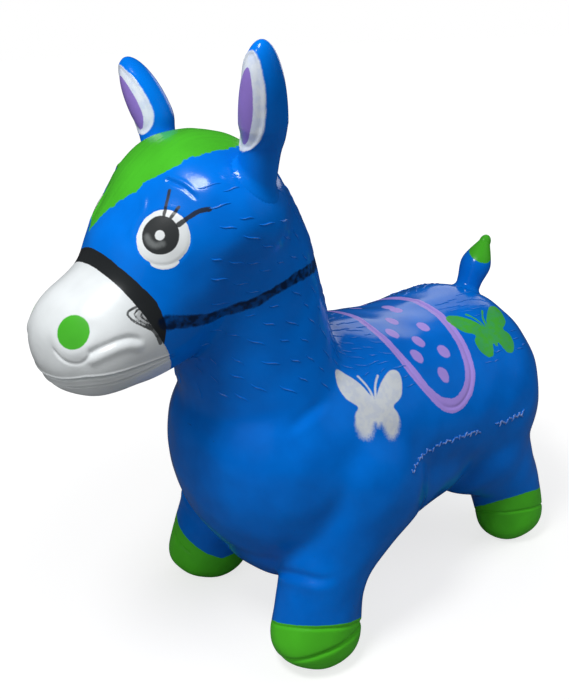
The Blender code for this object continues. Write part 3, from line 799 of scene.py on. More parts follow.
def run_out(along, start, end):
    """Share that grows from 0 at each end of a path, at the end's rate; an end of rate 0 stays full."""
    share = np.ones(len(along))
    for rate, place in ((start, along), (end, 1.0 - along)):
        if rate:
            share *= smooth_step(rate * place)
    return share


def moulded_line(points, line, step):
    """Height of a moulded line: a bell across its path that runs out at its ends."""
    distance, along = path_distance(points, curve_through(line.path, step) + line.moved)
    return bell(distance, line.half, line.height) * run_out(along, line.start, line.end)


def hair_waves(points):
    """Strands of the forelock: waves across the way the hair lies, strongest in its middle."""
    x, y, _ = points.T
    across = y + STRAND_SWEEP * (x - STRAND_FROM) + STRAND_SWING * np.sin(x / STRAND_SWING_LENGTH)
    inside = smooth_step(forelock_coat(points) / STRAND_EDGE)
    broken = np.sin(x / STRAND_BREAK_LENGTH + across / STRAND_BREAK_WIDTH) ** 2
    return STRAND_HEIGHT * inside * broken * np.sin(2 * math.pi * across / STRAND_SPACING)


def face_relief(points, sizes):
    """Moulded lines and swells of the face: a bulging eye with a rim line, a socket ridge and a brow,
    dished nostrils with a lip, cheek folds, the forelock's strands and two mouth lines."""
    left, eye = folded(points), eye_plane(points)
    spread = np.linalg.norm(eye, axis=1)
    height = sizes.eye_bulge * np.clip(1.0 - (spread / EYE_BULGE_RADIUS) ** 2, 0.0, 1.0) ** 2
    white_x, white_y, radius, _ = EYE_WHITE
    rim = np.linalg.norm(eye - (white_x, white_y), axis=1) - radius
    height += bell(rim, EYE_RIM_HALF, -EYE_RIM_DEPTH)
    height += moulded_line(eye, SOCKET_LINE, EYE_STEP)
    for line in FACE_LINES:
        height += moulded_line(left, line, FACE_STEP)
    away = np.linalg.norm(left - NOSTRIL, axis=1)
    height += bell(away, NOSTRIL_DISH_SHARE * sizes.nostril, -NOSTRIL_DISH)
    low = smooth_step((NOSTRIL[2] - left[:, 2]) / sizes.nostril + NOSTRIL_LIP_FROM)
    height += low * bell(away - NOSTRIL_LIP, NOSTRIL_LIP_HALF, NOSTRIL_LIP_RISE)
    height += hair_waves(points)
    ahead = smooth_step((nose_distance(points) - MOUTH_FROM) / MOUTH_FADE)
    width = sizes.mouth_width
    for line in MOUTH_LINES:
        below = np.interp(points[:, 0], *np.array(line).T) - points[:, 2]
        height += ahead * (bell(below - MOUTH_GROOVE * width, width, -sizes.mouth_depth)
                           + bell(below + MOUTH_LIP * width, width, MOUTH_LIP_RISE))
    return height


def body_relief(points, sizes):
    """Moulded lines of the body: the saddle's line, a fold at each shoulder and above each front hoof, a
    groove round each hoof, a crease round each front hoof and the flat valve pad."""
    left = folded(points)
    height = bell(saddle_inside(points, SADDLE_EDGE) - SADDLE_LINE, SADDLE_LINE_HALF, -sizes.saddle_groove)
    for fold in FOLDS:
        path = curve_through(fold.path, BODY_STEP)
        distance, along = path_distance(left, path)
        share = run_out(along, FOLD_ENDS, FOLD_ENDS)
        height += share * bell(distance, fold.groove_half, -fold.depth)
        distance, _ = path_distance(left, path - (0.0, 0.0, fold.below))
        height += share * bell(distance, fold.ridge_half, fold.rise)
    for end, side in HOOF_LINES:
        outwards = (side * points[:, 1] - HOOVES[end].y) / HOOF_FADE
        line = hoof_height(points, end, side, HOOF_GROOVES[end])
        cut = smooth_step(outwards + HOOF_GROOVE_FROM) * bell(line, HOOF_GROOVE_HALF, -sizes.hoof_groove)
        if end == "front":
            line = hoof_height(points, end, side, HOOF_CREASE)
            deep = HOOF_CREASE_DEEPER * sizes.hoof_groove
            cut += smooth_step(outwards + HOOF_CREASE_FROM) * bell(line, HOOF_CREASE_HALF, -deep)
        height += at_hoof(points, end, side) * cut
    away = np.hypot(points[:, 0] - VALVE_X, points[:, 1])
    under = points[:, 2] < BELLY_FRONT.z
    height += under * PAD_DROP * smooth_step((PAD_RADIUS + PAD_EDGE - away) / PAD_EDGE)
    return height


def unevenness(points):
    """Soft lumps of an inflated skin: a product of waves along three slanted ways."""
    waves = np.sin(points @ LUMP_WAYS.T * (2 * math.pi / LUMP_LENGTH) + LUMP_PHASES)
    return LUMP_HEIGHT * waves.prod(1)


def coat_values(points):
    """Coats that come near these points, each with its distances in millimetres."""
    found = []
    for coat in COATS:
        values = MM * coat.measure(points)
        if values.max() > -COAT_MARGIN:
            found.append((coat, values))
    return found


def painted_piece(name, points, normals, face_groups, coats):
    """Piece with its coats as point attributes, its own shading normals and its material."""
    mesh = mesh_from(name, points + SHIFT, *face_groups)
    for coat, values in coats:
        mesh.attributes.new(coat.name, "FLOAT", "POINT").data.foreach_set("value", values.astype(np.float32))
    mesh.shade_smooth()
    if normals is not None:
        mesh.normals_split_custom_set_from_vertices(normals.astype(np.float32))
    mesh.materials.append(painted_pvc(name, [coat for coat, _ in coats]))
    return object_of(mesh)


def skin_piece(name, form, chosen, splits, relief):
    """One piece of the skin: its quads, split a number of times, moved along the form's normals by the
    relief, with flat soles. Shading normals are the form's plus what the relief adds."""
    points, normals, quads = form
    used, corners = np.unique(quads[chosen], return_inverse=True)
    points, normals, quads = points[used], normals[used], corners.reshape(-1, 4)
    for _ in range(splits):
        points, normals, quads = refined(points, normals, quads)
    coats = coat_values(points)
    plain = corner_normals(points, quads)
    moved = points + normals * (relief(points, horse_sizes()) + unevenness(points))[:, None]
    moved[:, 2] = np.maximum(moved[:, 2], 0.0)
    shading = unit(normals + corner_normals(moved, quads) - plain)
    return painted_piece(name, moved, shading, [quads], coats)


def feed(tree, node, inputs):
    """Set a node's sockets, each to a value or linked from the socket that feeds it."""
    for socket, value in inputs.items():
        if isinstance(value, bpy.types.NodeSocket):
            tree.links.new(value, node.inputs[socket])
        else:
            node.inputs[socket].default_value = value


def add(tree, kind, inputs=None, **settings):
    """Add a node: settings are its properties, inputs its sockets' values or the sockets that feed them."""
    made = tree.nodes.new(kind)
    for name, value in settings.items():
        setattr(made, name, value)
    feed(tree, made, inputs or {})
    return made


def new_material(name):
    """Material with nodes: itself, its tree, its shader and the socket of the object's coordinates."""
    material = bpy.data.materials.new(name)
    material.use_nodes = True
    tree = material.node_tree
    return material, tree, tree.nodes["Principled BSDF"], add(tree, "ShaderNodeTexCoord").outputs["Object"]


def shaded(colour, share=1.0):
    """Colour with its alpha, at a share of its light."""
    return (*(share * part for part in colour), 1.0)


def per_mm(size_mm):
    """Texture scale, in features for each metre, of a pattern of a real size."""
    return MM / size_mm


# Noises of the skin, as feature size in millimetres and detail: mottle, edge grain, patches, sway, peel
SKIN_NOISES = ((34.0, 3.0), (1.6, 2.0), (6.0, 3.0), (9.0, 2.0), (1.8, 1.0))
THIN_RANGE = (0.42, 0.58)
TINT_RANGE = (0.35, 0.65)
PAINT_TINT = 0.90
PEEL_DEPTH = 0.00004
PVC_IOR = 1.53
PVC_ROUGHNESS = (0.11, 0.21)
PVC_SPECULAR = 0.24
MIX_FACTOR, MIX_A, MIX_B, MIX_OUT = 0, 6, 7, 2
FLOAT_A, FLOAT_B = 2, 3
WHITE = (1.0, 1.0, 1.0, 1.0)
BLACK = (0.0, 0.0, 0.0, 1.0)


def painted_pvc(name, coats):
    """Rotation-moulded soft PVC with sprayed and brushed vinyl paint.

    The mould leaves a glossy skin with a faint orange peel and slightly uneven dye; each coat of
    paint lies over the last, a little duller, with the edge that its mask or brush gave it.
    """
    colours = bpy.context.scene.horse_colours
    material, tree, shader, place = new_material(f"moulded_pvc_{name}")
    noises = [add(tree, "ShaderNodeTexNoise", {"Vector": place, "Scale": per_mm(size), "Detail": detail})
              for size, detail in SKIN_NOISES]
    mottle, grain, patch, sway, peel = (noise.outputs["Fac"] for noise in noises)
    thin = add(tree, "ShaderNodeMapRange", {"Value": patch, "From Min": THIN_RANGE[0],
                                            "From Max": THIN_RANGE[1]}).outputs[0]
    tint = add(tree, "ShaderNodeMapRange", {"Value": mottle, "From Min": TINT_RANGE[0],
                                            "From Max": TINT_RANGE[1]}).outputs[0]
    colour = add(tree, "ShaderNodeMix", {MIX_FACTOR: tint, MIX_A: shaded(colours.blue),
                                         MIX_B: shaded(colours.deep_blue)}, data_type="RGBA").outputs[MIX_OUT]
    sheen = add(tree, "ShaderNodeMapRange", {"Value": mottle, "To Min": PVC_ROUGHNESS[0],
                                             "To Max": PVC_ROUGHNESS[1]}).outputs[0]
    for coat in coats:
        reach = add(tree, "ShaderNodeAttribute", attribute_name=coat.name).outputs["Fac"]
        drift = add(tree, "ShaderNodeMath", {0: grain, 1: 2 * coat.wander, 2: reach},
                    operation="MULTIPLY_ADD")
        edge = add(tree, "ShaderNodeMath", {0: sway, 1: 2 * coat.sway, 2: drift.outputs[0]},
                   operation="MULTIPLY_ADD")
        middle = coat.wander + coat.sway
        cover = add(tree, "ShaderNodeMapRange", {"Value": edge.outputs[0], "From Min": middle - coat.edge,
                                                 "From Max": middle + coat.edge, "To Max": coat.cover},
                    interpolation_type="SMOOTHSTEP").outputs[0]
        if coat.patchy:
            kept = add(tree, "ShaderNodeMapRange", {"Value": thin, "To Min": 1.0 - coat.patchy}).outputs[0]
            cover = add(tree, "ShaderNodeMath", {0: cover, 1: kept}, operation="MULTIPLY").outputs[0]
        paint = getattr(colours, coat.colour)
        tone = add(tree, "ShaderNodeMix", {MIX_FACTOR: tint, MIX_A: shaded(paint),
                                           MIX_B: shaded(paint, PAINT_TINT)}, data_type="RGBA")
        colour = add(tree, "ShaderNodeMix", {MIX_FACTOR: cover, MIX_A: colour, MIX_B: tone.outputs[MIX_OUT]},
                     data_type="RGBA").outputs[MIX_OUT]
        sheen = add(tree, "ShaderNodeMix", {MIX_FACTOR: cover, FLOAT_A: sheen, FLOAT_B: coat.roughness},
                    data_type="FLOAT").outputs[0]
    bump = add(tree, "ShaderNodeBump", {"Height": peel, "Distance": PEEL_DEPTH, "Strength": 1.0})
    feed(tree, shader, {"Base Color": colour, "Roughness": sheen, "Normal": bump.outputs["Normal"],
                        "IOR": PVC_IOR, "Specular IOR Level": PVC_SPECULAR})
    return material


VALVE_GRAIN_MM = 0.8
VALVE_DUST_MM = 6.0
VALVE_DULL = 0.82
VALVE_ROUGHNESS = 0.42


def valve_plastic():
    """Injection-moulded soft PVC of the valve: satin, a fine spark-eroded grain, faint patches of dust."""
    colour = bpy.context.scene.horse_colours.valve
    material, tree, shader, place = new_material("moulded_valve_pvc")
    grain = add(tree, "ShaderNodeTexNoise", {"Vector": place, "Scale": per_mm(VALVE_GRAIN_MM), "Detail": 2.0})
    dust = add(tree, "ShaderNodeTexNoise", {"Vector": place, "Scale": per_mm(VALVE_DUST_MM), "Detail": 4.0})
    tone = add(tree, "ShaderNodeMix", {MIX_FACTOR: dust.outputs["Fac"], MIX_A: shaded(colour),
                                       MIX_B: shaded(colour, VALVE_DULL)}, data_type="RGBA")
    bump = add(tree, "ShaderNodeBump", {"Height": grain.outputs["Fac"], "Distance": PEEL_DEPTH})
    feed(tree, shader, {"Base Color": tone.outputs[MIX_OUT], "Normal": bump.outputs["Normal"],
                        "Roughness": VALVE_ROUGHNESS, "IOR": PVC_IOR})
    return material


def leg_frame(hoof, side):
    """Top of a leg's seam, the way down square to it and the way out along it."""
    cos, sin = math.cos(LEG_SEAM_SLOPE), math.sin(LEG_SEAM_SLOPE)
    top = np.array((hoof.x, side * (hoof.y - LEG_INSIDE), LEG_SEAM_HEIGHT))
    return top, np.array((0.0, -side * sin, -cos)), np.array((0.0, side * cos, -sin))


class HORSE_OT_skin(bpy.types.Operator):
    """Build the moulded skin: trunk and neck, back, head, nose, muzzle, and four legs"""

    bl_idname = "horse.skin"
    bl_label = "Moulded skin"

    def execute(self, context):
        form = fused_form(horse_sizes().voxel)
        points, _, quads = form
        middle = points[quads].mean(1)
        left = np.ones(len(quads), bool)
        for end, hoof in HOOVES.items():
            for hand, side in (("left", 1), ("right", -1)):
                top, down, out = leg_frame(hoof, side)
                offset = middle - top
                chosen = (offset @ down > 0) & (offset @ out > 0) & (np.abs(offset[:, 0]) < LEG_HALF_LENGTH)
                left &= ~chosen
                leg = skin_piece(f"{end}_{hand}_leg_skin", form, chosen, 1, body_relief)
                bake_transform(leg)
                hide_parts(f"{end}_{hand}_leg", f"{end}_{hand}_hoof")
        throat = centre(NECK_TOP) + (0.0, 0.0, THROAT_RISE)
        chosen = left & ((middle - throat) @ (math.sin(THROAT_TILT), 0.0, math.cos(THROAT_TILT)) > 0)
        left &= ~chosen
        ahead = chosen & (nose_distance(middle) > MUZZLE_SEAM) & (middle[:, 2] > HEAD_LOW)
        head = skin_piece("head_skin", form, chosen & ~ahead, 1, face_relief)
        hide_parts("head")
        above = ahead & (middle[:, 2] > NOSE_LOW)
        nose = skin_piece("nose_skin", form, above, 1, face_relief)
        muzzle = skin_piece("muzzle_skin", form, ahead & ~above, 2, face_relief)
        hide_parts("muzzle")
        places = rolled(middle)
        chosen = (left & (middle[:, 0] < BACK_FRONT) & (middle[:, 0] > BACK_REAR)
                  & (places[:, 1] < ROLL_RADIUS * BACK_LOW) & (middle[:, 2] < BACK_TOP))
        left &= ~chosen
        back = skin_piece("back_skin", form, chosen, 1, body_relief)
        valve = (np.hypot(middle[:, 0] - VALVE_X, middle[:, 1]) < VALVE_BORE) & (middle[:, 2] < BELLY_FRONT.z)
        trunk = skin_piece("trunk_skin", form, left & ~valve, 0, body_relief)
        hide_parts("trunk", "neck")
        for piece in (head, nose, muzzle, back, trunk):
            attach(piece, "body")
        return {"FINISHED"}


def skin_points(*names):
    """Points and normals of finished skin pieces, in the maker's frame."""
    meshes = [bpy.data.objects[name].data for name in names]
    points = np.concatenate([values_of(mesh.vertices, "co", 3) for mesh in meshes])
    normals = np.concatenate([values_of(mesh.vertex_normals, "vector", 3) for mesh in meshes])
    return points.reshape(-1, 3) - SHIFT, normals.reshape(-1, 3)


def nearest(points, targets, cell=0.03, margin=0.015):
    """Index of each point's nearest target, or -1 where none is near: points are sorted into cubes, and
    in each cube the least |t|**2 - 2 p.t is found among the targets in the cube and its margin."""
    found = np.full(len(points), -1)
    cubes, which = np.unique(np.floor(points / cell).astype(int), axis=0, return_inverse=True)
    for index, cube in enumerate(cubes):
        here = np.flatnonzero(which.ravel() == index)
        near = ((targets > cube * cell - margin) & (targets < (cube + 1) * cell + margin)).all(1)
        near = np.flatnonzero(near)
        if len(near):
            gaps = (targets[near] ** 2).sum(1) - 2.0 * points[here] @ targets[near].T
            found[here] = near[np.argmin(gaps, axis=1)]
    return found


def height_above(points, skin):
    """Height of points above the tangent plane of the nearest skin point, and that plane's normal."""
    targets, normals = skin
    which = nearest(points, targets)
    height = ((points - targets[which]) * normals[which]).sum(1)
    return np.where(which < 0, FAR, height), normals[which]


def with_fillet(grid, axis, skin, radius):
    """Loft points spread along the skin near it: at a height d the spread is
    radius - sqrt(radius**2 - (radius - d)**2), a round fillet that ends along the skin, and each point
    keeps its height where the skin curves away."""
    points = grid.reshape(-1, 3)
    height, normals = height_above(points, skin)
    reach = np.clip(radius - height, 0.0, radius)
    spread = radius - np.sqrt(radius ** 2 - reach ** 2)
    outward = (grid - axis[:, None]).reshape(-1, 3)
    outward = unit(outward - normals * (outward * normals).sum(1)[:, None])
    moved = points + outward * spread[:, None]
    again, normals = height_above(moved, skin)
    settle = np.where((height < radius) & (again < FAR), again - height, 0.0)
    return (moved - normals * settle[:, None]).reshape(grid.shape)


# Ear paint: middle and half height as shares of the way from the hinge to the tip, and half angles
Patch = namedtuple("Patch", "middle half angle power")
EAR_WHITE = Patch(0.480, 0.445, math.radians(64.0), 3.0)
EAR_OVAL = Patch(0.440, 0.340, math.radians(33.0), 2.0)
EAR_RIM_HEIGHT = 0.0006
EAR_RIM_HALF = 0.0013
EAR_PANEL_DEPTH = 0.0009
EAR_PANEL_COAT = Coat("ear_panel", None, "white", 0.32, 0.9, 0.5, 1.0, 0.88, 0.12)
EAR_OVAL_COAT = Coat("ear_oval", None, "ear_purple", 0.32, 0.45, 0.3, 0.4, 1.0, 0.0)


def patch_distance(patch, share, angle, radius, length):
    """Distance inside a patch on an ear's front: its half angle is the patch's angle times
    sqrt(1 - |(share - middle) / half| ** power)."""
    off = np.abs(share - patch.middle) / patch.half
    limit = patch.angle * np.sqrt(np.clip(1.0 - off ** patch.power, 0.0, 1.0))
    return np.minimum((limit - np.abs(angle)) * radius, (1.0 - off) * patch.half * length)


class HORSE_OT_ears(bpy.types.Operator):
    """Build the two ears: round lofts with a panel inside a raised rim and a filleted root"""

    bl_idname = "horse.ears"
    bl_label = "Ears"

    def execute(self, context):
        skin = skin_points("head_skin")
        left = (EAR_BASE, EAR_NECK, LEFT_EAR_BLADE, LEFT_EAR_TOP)
        right = [mirrored(swell) for swell in (EAR_BASE, EAR_NECK, RIGHT_EAR_BLADE, RIGHT_EAR_TOP)]
        for hand, swells, yaw, taper in (("left", left, LEFT_EAR_YAW, LEFT_EAR_TAPER),
                                         ("right", right, RIGHT_EAR_YAW, RIGHT_EAR_TAPER)):
            grid, poles, (axis, along) = loft(swells, EAR_SIDES, EAR_STEP, yaw, taper, EAR_CAP_RINGS)
            hinge, tip = centre(swells[1]), poles[1]
            facing = np.array((math.cos(yaw), math.sin(yaw), 0.0))
            facing = unit(facing - along * (along @ facing)[:, None])
            across = np.cross(along, facing)
            offset = grid - axis[:, None]
            angle = np.arctan2((offset * across[:, None]).sum(-1), (offset * facing[:, None]).sum(-1))
            length = tip[2] - hinge[2]
            share = (grid[..., 2] - hinge[2]) / length
            radius = np.linalg.norm(offset, axis=-1)
            panel = patch_distance(EAR_WHITE, share, angle, radius, length)
            inner = patch_distance(EAR_OVAL, share, angle, radius, length)
            relief = (EAR_RIM_HEIGHT * np.exp(-(panel / EAR_RIM_HALF) ** 2)
                      - EAR_PANEL_DEPTH * smooth_step(panel / (2 * EAR_RIM_HALF) - 0.5))
            grid = grid + unit(offset) * relief[..., None]
            grid = with_fillet(grid, axis, skin, horse_sizes().fillet)
            points = np.vstack([grid.reshape(-1, 3), poles])
            coats = [(EAR_PANEL_COAT, np.append(MM * panel, (-MM, -MM))),
                     (EAR_OVAL_COAT, np.append(MM * inner, (-MM, -MM)))]
            ear = painted_piece(f"{hand}_ear_skin", points, None, tube_faces(len(grid), EAR_SIDES), coats)
            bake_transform(ear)
            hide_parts(f"{hand}_ear", f"{hand}_ear_root")
        return {"FINISHED"}


TAIL_PAINT = (0.3125, -0.5)
TAIL_COAT = Coat("tail_tip", None, "green", 0.34, 0.4, 0.8, 0.6, 1.0, 0.0)


class HORSE_OT_tail(bpy.types.Operator):
    """Build the tail: a loft that swells above a thin neck, with a green tip"""

    bl_idname = "horse.tail"
    bl_label = "Tail"

    def execute(self, context):
        swells = (TAIL_BASE, TAIL_NECK, TAIL_BULGE, TAIL_TIP)
        grid, poles, (axis, _) = loft(swells, TAIL_SIDES, EAR_STEP)
        grid = with_fillet(grid, axis, skin_points("back_skin", "trunk_skin"), horse_sizes().fillet)
        points = np.vstack([grid.reshape(-1, 3), poles])
        height, lean = TAIL_PAINT
        tip = MM * (points[:, 2] - height - lean * points[:, 1])
        tail = painted_piece("tail_skin", points, None, tube_faces(len(grid), TAIL_SIDES), [(TAIL_COAT, tip)])
        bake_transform(tail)
        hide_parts("tail", "tail_root")
        return {"FINISHED"}


HAIR_SEED = 7
HAIR_SPACING = 0.0150
HAIR_DENSE = 0.62
HAIR_TRIES = 6000
HAIR_CLEAR_MM = 5.0
# A zone of hair: its lowest and highest Z, its rearmost and foremost X and its least distance from the spine
Zone = namedtuple("Zone", "low high rear front aside")
NECK_HAIR = Zone(0.268, 0.462, 0.020, 0.182, 0.012)
WITHERS_HAIR = Zone(0.245, FAR, -0.014, 0.060, -FAR)
CROUP_HAIR = Zone(0.235, FAR, -0.185, -0.122, 0.020)
# How steeply hair falls, and how much more so on the neck, behind and above these places
HAIR_FALL = 0.28
NECK_FALL = 1.3
NECK_FALL_FROM = 0.130
NECK_FALL_FADE = 0.05
NECK_FALL_LOW = 0.27
HAIR_STRAY = 0.12
HAIR_LENGTHS = (0.6, 1.3)
HAIR_STATIONS = 11
HAIR_WAVE = 0.0007
HAIR_SINK = 0.0004
HAIR_SECTION = ((-1.0, 0.0), (-0.55, 0.62), (0.0, 1.0), (0.55, 0.62), (1.0, 0.0), (0.0, -0.6))
FLANK_LINE = ((0.0210, 0.1290, 0.1790), (0.0040, 0.1190, 0.1830), (-0.0400, 0.1150, 0.1832),
              (-0.079, 0.1141, 0.1794), (-0.1062, 0.116, 0.1779), (-0.1547, 0.1189, 0.1757))
FLANK_STEP = 0.0046
FLANK_SCATTER = 0.0012
FLANK_GAP = (0.70, 0.06)
FLANK_LEAN = 0.8
FLANK_LEANS = (0.5, 1.6)
FLANK_LENGTH = 0.0069
FLANK_LENGTHS = (0.7, 1.2)
FLANK_GROWTH = (0.8, 0.6)
FLANK_RISE = 2.2
# Raised strokes carry a painted highlight, pale white along the crest, above these shares of the height:
# plain, flank
HAIR_HIGHLIGHT_SHARES = (0.95, 0.45)
HAIR_COAT = Coat("rubbed_crest", None, "white", 0.22, 0.15, 0.1, 0.1, 0.34, 0.6)


def in_zone(points, zone):
    """Which points lie in a zone of hair."""
    x, y, z = points.T
    return (z > zone.low) & (z < zone.high) & (x > zone.rear) & (x < zone.front) & (np.abs(y) > zone.aside)


def hair_starts(points):
    """Middles, directions, lengths and rises of the hair strokes: places picked at random with an even
    spacing on the neck, withers and croup, brushed back and, behind the neck, down; and a zigzag along
    each flank."""
    draw = np.random.default_rng(HAIR_SEED)
    dense = in_zone(points, WITHERS_HAIR) | in_zone(points, CROUP_HAIR)
    bare = np.max([values for _, values in coat_values(points)], axis=0) < -HAIR_CLEAR_MM
    order = draw.permutation(np.flatnonzero((in_zone(points, NECK_HAIR) | dense) & bare))
    spacing = np.where(dense, HAIR_DENSE, 1.0) * HAIR_SPACING
    picked = []
    for index in order[:HAIR_TRIES]:
        if not picked or np.min(np.linalg.norm(points[picked] - points[index], axis=1)) > spacing[index]:
            picked.append(index)
    middles = points[picked]
    behind = smooth_step((NECK_FALL_FROM - middles[:, 0]) / NECK_FALL_FADE)
    fall = HAIR_FALL + NECK_FALL * behind * (middles[:, 2] > NECK_FALL_LOW)
    brushed = np.stack([-np.ones(len(picked)), np.zeros(len(picked)), -fall], -1)
    brushed += HAIR_STRAY * draw.standard_normal(brushed.shape)
    lengths = horse_sizes().stroke_length * draw.uniform(*HAIR_LENGTHS, len(picked))
    line = curve_through(FLANK_LINE, FLANK_STEP)
    share = np.linspace(0.0, 1.0, len(line))
    lean = FLANK_LEAN * draw.uniform(*FLANK_LEANS, len(line)) * (-1.0) ** np.arange(len(line))
    zigzag = unit(np.gradient(line, axis=0)) + (0.0, 0.0, 1.0) * lean[:, None]
    line += (0.0, 0.0, FLANK_SCATTER) * draw.standard_normal(len(line))[:, None]
    kept = np.abs(share - FLANK_GAP[0]) > FLANK_GAP[1]
    flank = np.vstack([line[kept], line[kept] * (1, -1, 1)])
    zigzag = np.vstack([zigzag[kept], zigzag[kept] * (1, -1, 1)])
    short = draw.uniform(*FLANK_LENGTHS, len(line)) * (FLANK_GROWTH[0] + FLANK_GROWTH[1] * share)
    lengths = np.concatenate([lengths, FLANK_LENGTH * np.tile(short[kept], 2)])
    rise = np.concatenate([np.ones(len(picked)), np.full(len(flank), FLANK_RISE)])
    return np.vstack([middles, flank]), np.vstack([brushed, zigzag]), lengths, rise


class HORSE_OT_hair(bpy.types.Operator):
    """Build the moulded hair strokes: thin closed ridges that lie on the skin"""

    bl_idname = "horse.hair"
    bl_label = "Hair strokes"

    def execute(self, context):
        sizes = horse_sizes()
        points, normals = skin_points("trunk_skin", "back_skin", "head_skin")
        middles, brushed, lengths, rise = hair_starts(points)
        surface = normals[nearest(middles, points)]
        along = unit(brushed - surface * (brushed * surface).sum(1)[:, None])
        across = np.cross(surface, along)
        t = np.linspace(-1.0, 1.0, HAIR_STATIONS + 2)[1:-1]
        taper = np.sqrt(1.0 - t ** 2)
        wave = HAIR_WAVE * np.sin(math.pi * t)
        section = np.array(HAIR_SECTION)
        spine = (middles[:, None] + along[:, None] * (lengths[:, None] * t / 2)[..., None]
                 + across[:, None] * wave[None, :, None])
        flat = (spine[:, :, None] + across[:, None, None]
                * (sizes.stroke_width * taper[:, None] * section[:, 0])[None, :, :, None]
                * np.sqrt(rise)[:, None, None, None])
        tips = np.stack([middles - along * lengths[:, None] / 2, middles + along * lengths[:, None] / 2], 1)
        high = sizes.stroke_height * taper[:, None] * section[:, 1] - HAIR_SINK * (section[:, 1] <= 0.0)
        count, rows, sides = len(middles), HAIR_STATIONS, len(section)
        loose = np.concatenate([flat.reshape(count, -1, 3), tips], 1).reshape(-1, 3)
        heights = (rise[:, None] * np.append(high.ravel(), (-HAIR_SINK, -HAIR_SINK))).ravel()
        which = nearest(loose, points)
        lift = heights - ((loose - points[which]) * normals[which]).sum(1)
        laid = loose + normals[which] * lift[:, None]
        first = (np.arange(count) * (rows * sides + 2))[:, None, None]
        quads, fans = (faces[None] + first for faces in tube_faces(rows, sides))
        groups = [quads.reshape(-1, 4)[:, ::-1], fans.reshape(-1, 3)[:, ::-1]]
        # Painted highlight: the crests of the strokes are painted pale white, more of each flank stroke than
        # of the others
        highlight_share = rise * np.where(rise > 1.0, HAIR_HIGHLIGHT_SHARES[1], HAIR_HIGHLIGHT_SHARES[0])
        crest = MM * (heights - sizes.stroke_height * np.repeat(highlight_share, rows * sides + 2))
        hair = painted_piece("hair_strokes", laid, None, groups, [(HAIR_COAT, crest)])
        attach(hair, "body")
        return {"FINISHED"}


class HORSE_OT_valve(bpy.types.Operator):
    """Finish the valve's seat and stopper"""

    bl_idname = "horse.valve"
    bl_label = "Valve finish"

    def execute(self, context):
        plastic = valve_plastic()
        for node in ("valve_seat", "valve_plug"):
            mesh = frame["nodes"][node].data
            mesh.materials.clear()
            mesh.materials.append(plastic)
        return {"FINISHED"}


# Camera: fitted to the toy's outline in the photograph, which is 569 by 699 pixels
IMAGE_HEIGHT = 699
FOCAL_PIXELS = 840.9
SENSOR = 36.0
CAMERA_TARGET = Vector((0.065, 0.003, 0.277))
CAMERA_DISTANCE = 0.801
CAMERA_AZIMUTH = math.radians(52.447)
CAMERA_ELEVATION = math.radians(22.389)
CAMERA_ROLL = math.radians(-2.622)
FLOOR_RADIUS = 12.0
FLOOR_DROP = 0.0006
FLOOR_SIDES = 64
# A soft box: metres right, up and back of the target in the camera's own frame, its size, its power and
# whether it shows in the gloss
Lamp = namedtuple("Lamp", "name right up back size watts shows")
LAMPS = (
    Lamp("key_softbox", -0.30, 0.70, 0.80, 0.34, 8.4, True),
    Lamp("fill_softbox", -0.70, 0.10, 0.95, 1.20, 3.3, False),
    Lamp("side_softbox", 1.00, 0.55, 0.35, 1.00, 3.6, False),
    Lamp("rim_softbox", 0.45, 0.85, -0.75, 0.60, 1.3, True),
)
WORLD_LIGHT = 0.14
WORLD_GLOSS = 0.03
FLOOR_GLOW = 0.74
FLOOR_QUIET = 0.75
FLOOR_NEAR = 0.25
FLOOR_WHITE = 0.90
FLOOR_CLOUD_MM = 400.0
FLOOR_CLOUD = 0.98
FLOOR_ROUGHNESS = 0.9
FLOOR_SPECULAR = 0.1


def camera_axes():
    """Right, up and back of the camera, rolled about its view."""
    back = Vector((math.cos(CAMERA_ELEVATION) * math.cos(CAMERA_AZIMUTH),
                   math.cos(CAMERA_ELEVATION) * math.sin(CAMERA_AZIMUTH), math.sin(CAMERA_ELEVATION)))
    level = Vector((0.0, 0.0, 1.0)).cross(back).normalized()
    rise = back.cross(level)
    cos, sin = math.cos(CAMERA_ROLL), math.sin(CAMERA_ROLL)
    return level * cos + rise * sin, rise * cos - level * sin, back


def pale_floor():
    """Matt painted studio floor, faintly clouded; it glows a little to the camera so that it reads white."""
    colour = bpy.context.scene.horse_colours.floor
    material, tree, shader, place = new_material("matt_studio_floor")
    cloud = add(tree, "ShaderNodeTexNoise", {"Vector": place, "Scale": per_mm(FLOOR_CLOUD_MM), "Detail": 2.0})
    tone = add(tree, "ShaderNodeMix", {MIX_FACTOR: cloud.outputs["Fac"], MIX_A: shaded(colour),
                                       MIX_B: shaded(colour, FLOOR_CLOUD)}, data_type="RGBA")
    path = add(tree, "ShaderNodeLightPath").outputs
    quiet = add(tree, "ShaderNodeMath", {0: path["Is Glossy Ray"], 1: FLOOR_QUIET}, operation="MULTIPLY")
    base = add(tree, "ShaderNodeMix", {MIX_FACTOR: quiet.outputs[0], MIX_A: tone.outputs[MIX_OUT],
                                       MIX_B: BLACK}, data_type="RGBA")
    away = add(tree, "ShaderNodeVectorMath", {0: place}, operation="LENGTH").outputs["Value"]
    level = add(tree, "ShaderNodeMapRange", {"Value": away, "From Min": FLOOR_NEAR, "From Max": FLOOR_WHITE,
                                             "To Min": FLOOR_GLOW}, interpolation_type="SMOOTHSTEP")
    glow = add(tree, "ShaderNodeMath", {0: path["Is Camera Ray"], 1: level.outputs[0]}, operation="MULTIPLY")
    feed(tree, shader, {"Base Color": base.outputs[MIX_OUT], "Emission Strength": glow.outputs[0],
                        "Emission Color": WHITE, "Roughness": FLOOR_ROUGHNESS,
                        "Specular IOR Level": FLOOR_SPECULAR})
    return material


